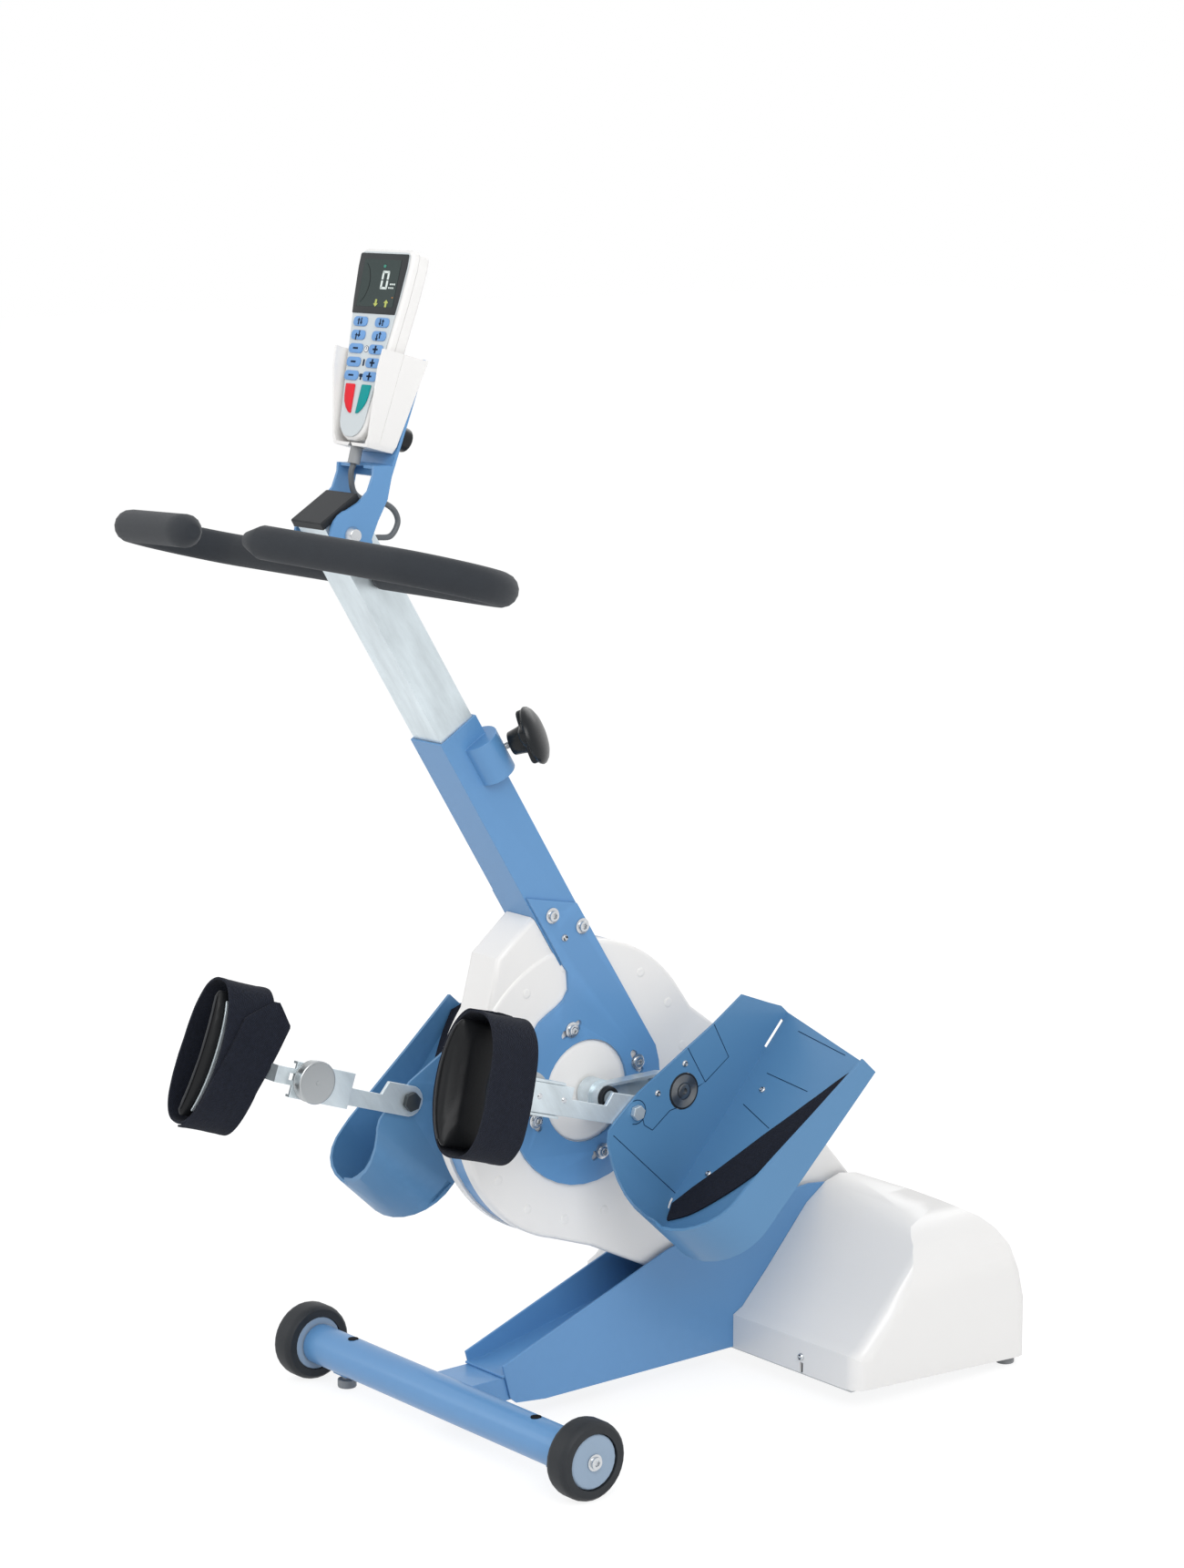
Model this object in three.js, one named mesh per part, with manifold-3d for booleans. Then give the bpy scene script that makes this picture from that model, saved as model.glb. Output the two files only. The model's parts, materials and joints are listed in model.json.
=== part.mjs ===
// Motorised leg trainer for use from a chair: a wheeled foot frame with a belt-driven crank,
// a foot shell and a calf cuff on each side, and a telescopic mast with a handlebar and a handset.
// Units are millimetres, +Z up, +X the user's right, +Y away from the user.
import * as THREE from 'three';
import { mergeVertices } from 'three/addons/utils/BufferGeometryUtils.js';
import Module from 'manifold-3d';

const wasm = await Module();
wasm.setup();

// Common clearances and overruns
const seatGap = 0.3;
const overrun = 20;
const half = 0.5;

// Wheels and crossbar
const wheelRadius = 40;
const wheelWidth = 28;
const wheelHalfTrack = 228;
const hubCapRadius = 28;
const hubBoltRadius = 7;
const hubBoltHead = 4;
const axleRadius = 5;
const axleClearance = 0.4;
const crossbarRadius = 21;
const crossbarWall = 2.5;
const wheelSideGap = 1.5;
const footPadRadius = 10;
const footPadHeight = 9;
const footStemRadius = 5;
const footSideOffset = 178;
const footRearOffset = 10;

// Sheet-metal frame
const beamWidth = 58;
const beamHeight = 25;
const beamWall = 3;
const beamTopHeight = 55;
const beamReach = 150;
const frameHalfWidth = 32;
const frameSheet = 2.5;
const frameFront = 53;
const frameBottom = 22;
const frameNoseHeight = 68;
const frameRearHeight = 160;
const trayLength = 215;

// Rear hood
const hoodHalfWidth = 222.5;
const hoodFront = 363;
const hoodDepth = 253;
const hoodBottom = 22;
const hoodHeight = 164;
const hoodWall = 3;
const hoodRound = 17;
const hoodRearBottom = 9;
const hoodScrewSide = 139;
const hoodScrewHeight = 17.5;
const hoodNotchHalf = 2.4;
const hoodSlotDepth = 193;
const hoodSlotMargin = 22;
const basePlateSheet = 3;
const rearFootRadius = 10;
const rearFootInset = 18;
const inletHalf = 14;

// Belt drive
const hubHeight = 335.5;
const hubDepth = 165;
const drumRadius = 155;
const drumHalfWidth = 25;
const drumWall = 3;
const shellRim = 14.2;
const bandSheet = 2.5;
const bandInset = 2;
const noseTurn = 143;
const controlInset = 65;
const tailFloor = 62;
const domeRadius = 52;
const domeRise = 4.5;
const motorInset = 107;
const motorHeight = 100;
const motorRadius = 40;
const motorLength = 105;
const motorShaftRadius = 6;
const motorPulleyRadius = 20;
const drivenPulleyRadius = 112;
const pulleyWidth = 14;
const beltWidth = 12;
const beltThickness = 3;

// Side plates
const plateSheet = 3.5;
const ringRadius = 97.5;
const ringHoleRadius = 53.3;
const ringBoltCircle = 69.5;
const ringBoltTurn = 16.5;
const plateBoltRadius = 8;
const smallScrewRadius = 4.5;
const boltHeadHeight = 6;
const slotTurn = 9;
const slotRadius = 3.5;

// Column and mast, along the tilted tube axis
const columnTilt = 31.7;
const columnFootLead = 30.8;
const columnFootRise = 133.4;
const outerTube = 50;
const outerWall = 2.5;
const outerLength = 282;
const innerTube = 44.4;
const innerWall = 2;
const mastReach = 256;
const mastOverlap = 150;
const capThickness = 8;
const saddleRadius = 20;
const saddleLength = 44;
const saddleTop = 22;
const saddleCentreX = 23.5;
const saddleCentreN = 40.4;
const knobStudRadius = 4;
const knobHubRadius = 12;
const knobHubLength = 16;
const knobRadius = 30;
const knobThickness = 21;
const knobLobes = 5;
const knobStandOff = 23.5;

// Handlebar
const barRadius = 11;
const gripRadius = 16;
const barAlongMast = 183;
const barThroughDepth = 33;
const barTilt = 15.1;
const barRunEnd = 197;
const barBend = 63;
const barSweep = 0.252;
const barRearSweep = 0.041;
const barFreeEnd = 60;
const barSteelEnd = 50;
const gripStandOff = 3;

// Head bracket, holder and handset
const headPivotAlong = 236;
const headPivotDepth = 21;
const bracketHalfWidth = 30;
const bracketSheet = 3;
const bracketLobe = 25;
const bracketBoltRadius = 9;
const holderTilt = 15;
const backPlateTilt = 21.4;
const backPlateLength = 105;
const handsetHalfWidth = 42;
const handsetNeck = 31.5;
const handsetChin = 23;
const handsetLength = 184.6;
const handsetNeckHeight = 84;
const handsetShoulderHeight = 135;
const handsetDepth = 21;
const handsetRound = 9;
const handsetSeatRise = 86;
const handsetSeatBack = 19;
const faceThickness = 1.2;
const holderWall = 3;
const holderLip = 10;
const holderFootDepth = 33.5;
const holderTopDepth = 43.5;
const holderHeight = 88;
const holderTopHalf = 39.5;
const holderFootHalf = 29;
const holderKnobRadius = 13;
const holderKnobLength = 24;
const plugRadius = 6;
const plugLength = 20;
const cableRadius = 3;

// Crank
const crankRadius = 75;
const crankShaftRadius = 10;
const crankBossRadius = 16;
const crankInner = 33;
const crankWidth = 26;
const crankDepth = 14;
const crankWall = 3;
const crankOuter = 61;
const crankCapRadius = 11.5;
const crankCapHeight = 4;
const pinRadius = 8;

// Foot shell, in its own frame: across, along the sole, up from the sole
const soleAngle = 47.5;
const shellInnerFace = 89.5;
const shellWall = 3;
const shellWidthToe = 155;
const shellWidthHeel = 140;
const soleLength = 226;
const heelReach = 57;
const heelWallHeight = 119;
const toeWallHeight = 65;
const soleThickness = 6;
const toeSkew = 36;
const pedalAlong = 85;
const pedalUp = 64;
const bearingRadius = 19;
const bearingHouseRadius = 27;
const guideAlong = 34;
const guideUp = 103;
const strapWidth = 34;
const strapThickness = 2.2;

// Leg guide, in its own frame: across, back along the bar, up
const guideTilts = { right: 17.2, left: 19 };
const cuffSlides = { right: 0, left: 17 };
const cuffLeans = { right: -6, left: -5.5 };
const cuffOutsets = { right: 4, left: 19 };
const cuffHalfAcross = { right: 41, left: 33.5 };
const cuffHalfUps = { right: 71.5, left: 75 };
const cuffDrops = { right: 2.5, left: 0 };
const guideSheet = 4;
const guideInner = 85;
const guideLug = 16;
const guideNeck = 18.5;
const guideWide = 30.5;
const guideDrop = 17.5;
const guideReach = 150;
const guideWideStart = 84;
const guideLugLength = 38;
const guideBoltRadius = 4;
const guideNutRadius = 8;
const guideNutHeight = 5.5;
const sliderSheet = 2.7;
const sliderReach = 246;
const sliderStart = 96;
const tongueWidth = 17;
const clampAlong = 132;
const clampRadius = 22;
const clampThickness = 12;
const clampStud = 3.2;
const cuffEnd = 254;
const cuffWidth = 56;
const cuffSquareness = 2.8;
const tongueStep = 189.5;
const padThickness = 13;
const padEdge = 2;
const padArc = 66;
const plateArc = 52;
const calfPlateSheet = 2;
const clothThickness = 2;

const colours = {
  blue: [0x5f8fc4, 0.45, 0.1],
  white: [0xe9eaea, 0.35, 0],
  steel: [0xc9ced1, 0.3, 0.9],
  zinc: [0xb9c6cc, 0.35, 0.8],
  black: [0x1b1d20, 0.6, 0],
  foam: [0x23282c, 0.9, 0],
  tyre: [0x202326, 0.7, 0],
  hub: [0x6f93b5, 0.5, 0],
  cloth: [0x161b2b, 0.95, 0],
  grey: [0x8d9296, 0.6, 0],
};

const trainer = new THREE.Group();
const radians = (degrees) => THREE.MathUtils.degToRad(degrees);

// Places that follow from the sizes above
const hoodSlotEnd = hoodFront + hoodSlotDepth;
const tailEnd = hoodSlotEnd - seatGap * 2;
const motorDepth = hoodFront + motorInset;
const frameLength = hoodSlotEnd - hoodSlotMargin - frameFront;
const columnTopDepth = hubDepth - columnFootLead - outerLength * Math.sin(radians(columnTilt));
const columnTopHeight = hubHeight + columnFootRise + outerLength * Math.cos(radians(columnTilt));

// Placing and solid helpers
function add(parent, name, geometry, colour, place = [0, 0, 0]) {
  const [hex, roughness, metalness] = colours[colour];
  const material = new THREE.MeshStandardMaterial({ color: hex, roughness, metalness });
  const mesh = new THREE.Mesh(geometry, material);
  mesh.name = name;
  mesh.position.set(...place);
  parent.add(mesh);
  return mesh;
}

function turned(parent, place, degrees) {
  const group = new THREE.Group();
  group.position.set(...place);
  group.rotation.x = radians(degrees);
  parent.add(group);
  return group;
}

function solid(geometry) {
  const bare = geometry.clone();
  bare.deleteAttribute('normal');
  bare.deleteAttribute('uv');
  const merged = mergeVertices(bare);
  return new wasm.Manifold(new wasm.Mesh({
    numProp: 3,
    vertProperties: new Float32Array(merged.attributes.position.array),
    triVerts: new Uint32Array(merged.index.array),
  }));
}

function geometryOf(manifold) {
  const mesh = manifold.getMesh();
  const geometry = new THREE.BufferGeometry();
  geometry.setAttribute('position', new THREE.BufferAttribute(new Float32Array(mesh.vertProperties), 3));
  geometry.setIndex(new THREE.BufferAttribute(new Uint32Array(mesh.triVerts), 1));
  geometry.computeVertexNormals();
  return geometry;
}

function join(...geometries) {
  return geometryOf(geometries.map(solid).reduce((whole, piece) => whole.add(piece)));
}

function cut(geometry, ...cutters) {
  return geometryOf(cutters.map(solid).reduce((whole, piece) => whole.subtract(piece), solid(geometry)));
}

function common(geometry, other) {
  return geometryOf(solid(geometry).intersect(solid(other)));
}

// A box given by its lowest and highest corners
function block(low, high) {
  const size = high.map((value, axis) => value - low[axis]);
  const middle = high.map((value, axis) => (value + low[axis]) * half);
  return new THREE.BoxGeometry(...size).translate(...middle);
}

// A round bar from one point to another
function rod(radius, from, to, sides = 16, endRadius = radius) {
  const start = new THREE.Vector3(...from);
  const end = new THREE.Vector3(...to);
  const along = end.clone().sub(start);
  const geometry = new THREE.CylinderGeometry(endRadius, radius, along.length(), sides);
  const turn = new THREE.Quaternion().setFromUnitVectors(new THREE.Vector3(0, 1, 0), along.clone().normalize());
  const middle = start.add(end).multiplyScalar(half);
  return geometry.applyQuaternion(turn).translate(middle.x, middle.y, middle.z);
}

// A side view (y, z) given thickness from one x to another
function slab(points, fromX, toX, holes = []) {
  const shape = new THREE.Shape(points.map(([y, z]) => new THREE.Vector2(y, z)));
  shape.holes = holes.map((hole) => new THREE.Path(hole.map(([y, z]) => new THREE.Vector2(y, z))));
  const geometry = new THREE.ExtrudeGeometry(shape, { depth: toX - fromX, bevelEnabled: false });
  const basis = new THREE.Matrix4().makeBasis(
    new THREE.Vector3(0, 1, 0),
    new THREE.Vector3(0, 0, 1),
    new THREE.Vector3(1, 0, 0),
  );
  return geometry.applyMatrix4(basis).translate(fromX, 0, 0);
}

// A plan view (x, y) given height from one z to another
function prism(points, fromZ, toZ, holes = []) {
  const shape = new THREE.Shape(points.map(([x, y]) => new THREE.Vector2(x, y)));
  shape.holes = holes.map((hole) => new THREE.Path(hole.map(([x, y]) => new THREE.Vector2(x, y))));
  return new THREE.ExtrudeGeometry(shape, { depth: toZ - fromZ, bevelEnabled: false }).translate(0, 0, fromZ);
}

function arc(centreY, centreZ, radius, fromDegrees, toDegrees, steps) {
  return Array.from({ length: steps + 1 }, (unused, index) => {
    const angle = radians(fromDegrees + (toDegrees - fromDegrees) * index / steps);
    return [centreY + radius * Math.cos(angle), centreZ + radius * Math.sin(angle)];
  });
}

function circle(centreY, centreZ, radius, steps = 24) {
  return arc(centreY, centreZ, radius, 0, 360, steps).slice(0, -1);
}

// The same outline moved inwards by a distance; it runs anticlockwise
function inset(points, distance) {
  return points.map((point, index) => {
    const before = points[(index + points.length - 1) % points.length];
    const after = points[(index + 1) % points.length];
    const edges = [[before, point], [point, after]].map(([from, to]) => {
      const length = Math.hypot(to[0] - from[0], to[1] - from[1]);
      return [(from[1] - to[1]) / length, (to[0] - from[0]) / length];
    });
    const sum = [edges[0][0] + edges[1][0], edges[0][1] + edges[1][1]];
    const share = distance / (1 + edges[0][0] * edges[1][0] + edges[0][1] * edges[1][1]);
    return [point[0] + sum[0] * share, point[1] + sum[1] * share];
  });
}

function mirrored(geometry) {
  const copy = geometry.clone().scale(-1, 1, 1);
  const flipped = copy.index ? copy.toNonIndexed() : copy;
  const place = flipped.attributes.position;
  for (let corner = 0; corner < place.count; corner += 3) {
    const second = new THREE.Vector3().fromBufferAttribute(place, corner + 1);
    const third = new THREE.Vector3().fromBufferAttribute(place, corner + 2);
    place.setXYZ(corner + 1, third.x, third.y, third.z);
    place.setXYZ(corner + 2, second.x, second.y, second.z);
  }
  flipped.computeVertexNormals();
  return flipped;
}

// Both sides of the machine: the left piece is the right one mirrored
const sides = [['right', 1], ['left', -1]];
const handed = (geometry, sign) => (sign > 0 ? geometry : mirrored(geometry));

function sweep(points, radius, sides8, steps) {
  const path = new THREE.CatmullRomCurve3(points.map((point) => new THREE.Vector3(...point)));
  const ring = new THREE.Shape(arc(0, 0, radius, 0, 360, sides8).slice(0, -1)
    .map(([x, y]) => new THREE.Vector2(x, y)));
  return new THREE.ExtrudeGeometry(ring, { steps, extrudePath: path, bevelEnabled: false });
}

// A socket-head bolt with its washer, standing out along +X from a face
function boltHead(radius, face, y, z) {
  const washer = rod(radius, [face, y, z], [face + boltHeadHeight * 0.35, y, z], 12);
  const head = rod(radius * 0.75, [face, y, z], [face + boltHeadHeight, y, z], 8, radius * 0.55);
  return join(washer, head);
}

// Crossbar, wheels and levelling feet
function buildCrossbar() {
  const barEnd = wheelHalfTrack - wheelWidth * half - wheelSideGap;
  const outer = rod(crossbarRadius, [-barEnd, 0, wheelRadius], [barEnd, 0, wheelRadius], 28);
  const bore = rod(
    crossbarRadius - crossbarWall,
    [-barEnd + crossbarWall, 0, wheelRadius],
    [barEnd - crossbarWall, 0, wheelRadius],
    28,
  );
  const stemHoles = sides.map(([, sign]) => rod(
    footStemRadius + axleClearance,
    [sign * footSideOffset, footRearOffset, 0],
    [sign * footSideOffset, footRearOffset, wheelRadius],
    12,
  ));
  const outerFace = wheelHalfTrack + wheelWidth * half;
  const axle = join(
    rod(axleRadius, [barEnd - crossbarWall, 0, wheelRadius], [outerFace, 0, wheelRadius], 12),
    rod(hubBoltRadius, [outerFace, 0, wheelRadius], [outerFace + hubBoltHead, 0, wheelRadius], 14),
  );
  add(trainer, 'crossbar', join(cut(outer, bore, ...stemHoles), axle, mirrored(axle)), 'blue');

  const beamFront = crossbarRadius + seatGap;
  const beamOuter = block(
    [-beamWidth * half, 0, beamTopHeight - beamHeight],
    [beamWidth * half, beamReach, beamTopHeight],
  );
  const beamInner = block(
    [-beamWidth * half + beamWall, beamFront + beamWall, beamTopHeight - beamHeight + beamWall],
    [beamWidth * half - beamWall, beamReach + overrun, beamTopHeight - beamWall],
  );
  const barSpace = rod(
    crossbarRadius + seatGap,
    [-beamWidth, 0, wheelRadius],
    [beamWidth, 0, wheelRadius],
    28,
  );
  const beamSpace = block([-beamWidth, -overrun, 0], [beamWidth, crossbarRadius * half, wheelRadius * 2]);
  add(trainer, 'beam', cut(beamOuter, beamInner, barSpace, beamSpace), 'blue');

  sides.forEach(([side, sign]) => {
    const place = [sign * wheelHalfTrack, 0, wheelRadius];
    const tyreHalf = wheelWidth * half;
    const tyreProfile = [
      [hubCapRadius + seatGap, -tyreHalf],
      [wheelRadius * 0.9, -tyreHalf],
      [wheelRadius * 0.97, -tyreHalf * 0.8],
      [wheelRadius, -tyreHalf * half],
      [wheelRadius, tyreHalf * half],
      [wheelRadius * 0.97, tyreHalf * 0.8],
      [wheelRadius * 0.9, tyreHalf],
      [hubCapRadius + seatGap, tyreHalf],
      [hubCapRadius + seatGap, -tyreHalf],
    ].map(([radius, across]) => new THREE.Vector2(radius, across));
    const tyre = new THREE.LatheGeometry(tyreProfile, 32).rotateZ(-Math.PI * half);
    add(trainer, `wheel_tyre_${side}`, tyre, 'tyre', place);
    const hubProfile = [
      [axleRadius + axleClearance, -tyreHalf * 0.95],
      [hubCapRadius, -tyreHalf * 0.95],
      [hubCapRadius, tyreHalf * 0.8],
      [hubCapRadius * 0.9, tyreHalf * 0.95],
      [axleRadius + axleClearance, tyreHalf * 0.95],
      [axleRadius + axleClearance, -tyreHalf * 0.95],
    ].map(([radius, across]) => new THREE.Vector2(radius, across));
    const hub = new THREE.LatheGeometry(hubProfile, 24).rotateZ(-Math.PI * half);
    add(trainer, `wheel_hub_${side}`, handed(hub, sign), 'hub', place);
    const footPad = rod(footPadRadius, [0, 0, 0], [0, 0, footPadHeight], 18);
    const footStem = rod(
      footStemRadius,
      [0, 0, 0],
      [0, 0, wheelRadius - crossbarRadius + crossbarWall + footPadHeight],
      12,
    );
    add(trainer, `levelling_foot_${side}`, join(footPad, footStem), 'grey', [
      sign * footSideOffset, footRearOffset, 0,
    ]);
  });
}

// Folded trough frame: two side plates joined by a front tray and a rear floor
const frameRear = frameFront + frameLength;
const frameTopShares = [
  [1, 0.94], [0.87, 1], [0.78, 0.975], [0.455, 0.70], [0, 0],
];
function buildFrame() {
  const nose = [frameFront, frameNoseHeight];
  const rise = frameRearHeight - (frameNoseHeight - frameBottom);
  const top = frameTopShares.map(([along, up]) => [
    frameFront + along * frameLength,
    frameNoseHeight + up * rise,
  ]);
  const notch = [
    [frameFront + frameSheet * 4, frameBottom + frameSheet * 4],
    [frameFront + frameSheet * 7, frameBottom + frameSheet * 1.6],
    [frameFront + frameSheet * 22, frameBottom],
  ];
  const outline = [...top.slice(0, -1), nose, ...notch, [frameRear, frameBottom]];
  const shaftHole = circle(motorDepth, motorHeight, motorShaftRadius + seatGap * 4, 12);
  const innerHalf = frameHalfWidth - frameSheet;
  const right = slab(outline, innerHalf, frameHalfWidth, [shaftHole]);
  const left = slab(outline, -frameHalfWidth, -innerHalf, [shaftHole]);
  const floorTop = beamTopHeight + frameSheet + seatGap;
  const trayEnd = frameFront + trayLength;
  const trayRise = 0.85;
  const tray = slab([
    [frameFront, floorTop - frameSheet],
    [frameFront + overrun, floorTop - frameSheet],
    [trayEnd, floorTop - frameSheet + (frameNoseHeight - frameBottom) * trayRise],
    [trayEnd, floorTop + (frameNoseHeight - frameBottom) * trayRise],
    [frameFront + overrun, floorTop],
    [frameFront, floorTop],
  ], -frameHalfWidth + frameSheet * half, frameHalfWidth - frameSheet * half);
  const bottom = slab([
    [beamReach + frameFront, frameBottom],
    [frameRear, frameBottom],
    [frameRear, frameBottom + frameSheet],
    [beamReach + frameFront, frameBottom + frameSheet],
  ], -frameHalfWidth + frameSheet * half, frameHalfWidth - frameSheet * half);
  add(trainer, 'trough_frame', join(right, left, tray, bottom), 'blue');
}

// Drum housing around the belt drive
const lowerTail = [[0.56, -1.32], [0.07, -1.08]];
const upperTail = [[2.155, -0.719], [1.123, 0.281], [0.929, 0.423]];
const tailShare = 0.84;
const noseShares = [[-0.415, 1.207], [-0.70, 0.975], [-0.722, 0.887]];
function drumOutline() {
  return [
    [tailEnd, tailFloor],
    [tailEnd, hoodBottom + hoodHeight * tailShare],
    ...upperTail.map(([across, up]) => [hubDepth + across * drumRadius, hubHeight + up * drumRadius]),
    ...arc(hubDepth, hubHeight, drumRadius, 34, 118, 10),
    ...noseShares.map(([across, up]) => [hubDepth + across * drumRadius, hubHeight + up * drumRadius]),
    ...arc(hubDepth, hubHeight, drumRadius, noseTurn, 255, 14),
    ...lowerTail.slice().reverse().map(([across, up]) => [
      hubDepth + across * drumRadius,
      hubHeight + up * drumRadius,
    ]),
    [hubDepth + drumRadius * 1.5, tailFloor],
  ];
}

function columnSpace() {
  const clear = outerTube * half + seatGap;
  const group = new THREE.Matrix4().makeRotationX(radians(columnTilt));
  group.setPosition(0, columnTopDepth, columnTopHeight);
  return block([-clear, -seatGap, -outerLength - seatGap], [clear, outerTube + seatGap, overrun])
    .applyMatrix4(group);
}

function buildDrum() {
  const outline = drumOutline();
  const column = columnSpace();
  const shellInner = drumHalfWidth - shellRim;
  const shaftClear = crankBossRadius + seatGap * 6;
  const bearingInner = pulleyWidth * half + seatGap * 4;
  const noseBase = hubHeight + drumRadius * Math.sin(radians(noseTurn));
  const noseSpace = (grow) => block(
    [-drumHalfWidth - grow, hubDepth - drumRadius, noseBase - grow],
    [drumHalfWidth + grow, hubDepth - columnFootLead + grow, hubHeight + drumRadius * 1.4],
  );
  sides.forEach(([side, sign]) => {
    const nose = common(slab(outline, seatGap * half, drumHalfWidth), noseSpace(0));
    const body = join(slab(outline, shellInner, drumHalfWidth), nose);
    const hollow = slab(inset(outline, drumWall), shellInner - overrun, drumHalfWidth - drumWall);
    const domeProfile = [
      [0, -drumWall], [domeRadius, -drumWall], [domeRadius, 0],
      [domeRadius * 0.9, domeRise * 0.45], [domeRadius * 0.7, domeRise * 0.8],
      [crankBossRadius, domeRise], [0, domeRise],
    ].map(([radius, across]) => new THREE.Vector2(radius, across));
    const dome = new THREE.LatheGeometry(domeProfile, 36).rotateZ(-Math.PI * half)
      .translate(drumHalfWidth, hubDepth, hubHeight);
    const shaftHole = rod(
      shaftClear,
      [drumHalfWidth, hubDepth, hubHeight],
      [drumHalfWidth + overrun, hubDepth, hubHeight],
      24,
    );
    const motorHole = rod(
      motorShaftRadius + seatGap * 4,
      [0, motorDepth, motorHeight],
      [drumHalfWidth + overrun, motorDepth, motorHeight],
      12,
    );
    const boss = rod(
      crankBossRadius + drumWall,
      [bearingInner, hubDepth, hubHeight],
      [drumHalfWidth - drumWall * half, hubDepth, hubHeight],
      28,
    );
    const shaftBore = rod(
      crankShaftRadius + seatGap,
      [0, hubDepth, hubHeight],
      [drumHalfWidth + overrun, hubDepth, hubHeight],
      24,
    );
    const housing = join(cut(body, hollow), dome, boss);
    const shell = cut(housing, shaftHole, shaftBore, motorHole, column);
    add(trainer, `drum_shell_${side}`, handed(shell, sign), 'white');
  });
  const bandHalf = shellInner - seatGap;
  const bandOutline = inset(outline, bandInset);
  const band = slab(bandOutline, -bandHalf, bandHalf, [inset(bandOutline, bandSheet).reverse()]);
  add(trainer, 'drum_band', cut(band, column, noseSpace(seatGap)), 'blue');
}

// Side plates that carry the column on the crank bearing
const plateFrontReach = 88;
const plateRearReach = 44;
const plateFrontFoot = 24;
const plateEdge = 1.5;
const plateBiteShares = [
  [-0.33, 1.41], [-0.25, 1.30], [-0.236, 1.11],
  [-0.30, 1.01], [-0.39, 0.95], [-0.51, 0.887], [-0.62, 0.82],
];
function buildPlates() {
  const fromHub = ([across, up]) => [hubDepth + across * ringRadius, hubHeight + up * ringRadius];
  const tilt = radians(columnTilt);
  const onColumn = (deep, along) => [
    columnTopDepth + deep * Math.cos(tilt) - (along - outerLength) * Math.sin(tilt),
    columnTopHeight + deep * Math.sin(tilt) + (along - outerLength) * Math.cos(tilt),
  ];
  const outline = [
    onColumn(outerTube - plateEdge, plateRearReach),
    onColumn(plateEdge, plateFrontReach),
    onColumn(plateEdge, plateFrontFoot),
    ...plateBiteShares.map(fromHub),
    ...arc(hubDepth, hubHeight, ringRadius, 135, 380, 24),
  ];
  const bolts = [0, 90, 180, 270].map((step) => step + ringBoltTurn);
  const slots = bolts.map((turn) => [
    ...arc(hubDepth, hubHeight, ringBoltCircle + slotRadius, turn - slotTurn, turn + slotTurn, 3),
    ...arc(hubDepth, hubHeight, ringBoltCircle - slotRadius, turn + slotTurn, turn - slotTurn, 3),
  ].reverse());
  const face = drumHalfWidth + seatGap;
  const holes = [circle(hubDepth, hubHeight, ringHoleRadius, 36).reverse(), ...slots];
  const plate = slab(outline, face, face + plateSheet, holes);
  const columnBolts = [
    [plateBoltRadius, ...onColumn(outerTube * 0.33, plateFrontReach - plateBoltRadius * 4.3)],
    [plateBoltRadius, ...onColumn(outerTube * 0.82, plateRearReach - plateBoltRadius * 3)],
    [smallScrewRadius, ...onColumn(outerTube * 0.34, plateFrontFoot)],
  ];
  const ringBolts = bolts.map((turn) => {
    const [[y, z]] = arc(hubDepth, hubHeight, ringBoltCircle, turn, turn + 1, 1);
    return [plateBoltRadius, y, z];
  });
  const heads = [...columnBolts, ...ringBolts]
    .map(([radius, y, z]) => boltHead(radius, face + plateSheet * half, y, z));
  sides.forEach(([side, sign]) => {
    add(trainer, `side_plate_${side}`, handed(join(plate, ...heads), sign), 'blue');
  });
}

// Rear hood with the base plate, feet and electrical parts under it
const hoodProfileShares = [
  [0, -0.2], [1, -0.2], [1, 0.31], [0.97, 0.50], [0.915, 0.68], [0.82, 0.86], [0.70, 0.975],
  [0.60, 1], [0.52, 0.965], [0.41, 0.85], [0.19, 0.48], [0.05, 0.26], [0, 0.22],
];
function hoodOutline(shrink) {
  const outline = hoodProfileShares.map(([along, up]) => [
    hoodFront + along * hoodDepth,
    hoodBottom + up * hoodHeight,
  ]);
  return inset(outline, shrink);
}

const hoodCrownShares = [
  [1, 0.52], [0.993, 0.60], [0.965, 0.71], [0.91, 0.81], [0.82, 0.89], [0.69, 0.945], [0.5, 0.98], [0.27, 1], [0.12, 1.01],
];
function crowned(shrink) {
  const half = hoodCrownShares.map(([across, up]) => [across * hoodHalfWidth, hoodBottom + up * hoodHeight]);
  const line = [[hoodHalfWidth, -overrun], ...half];
  return inset([...line, ...line.slice().reverse().map(([x, up]) => [-x, up])], shrink);
}

function roundedHood(shrink, halfWidth, round) {
  const shape = new THREE.Shape(hoodOutline(shrink + round).map(([y, z]) => new THREE.Vector2(y, z)));
  const depth = (halfWidth - round) * 2;
  const geometry = new THREE.ExtrudeGeometry(shape, {
    depth, bevelEnabled: true, bevelSize: round, bevelThickness: round, bevelSegments: 3,
  });
  const basis = new THREE.Matrix4().makeBasis(
    new THREE.Vector3(0, 1, 0),
    new THREE.Vector3(0, 0, 1),
    new THREE.Vector3(1, 0, 0),
  );
  const long = geometry.applyMatrix4(basis).translate(-halfWidth + round, 0, 0);
  const crown = prism(crowned(shrink), 0, hoodFront + hoodDepth * 2).rotateX(Math.PI * half);
  return common(long, crown.translate(0, hoodFront + hoodDepth * 2, 0));
}

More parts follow.
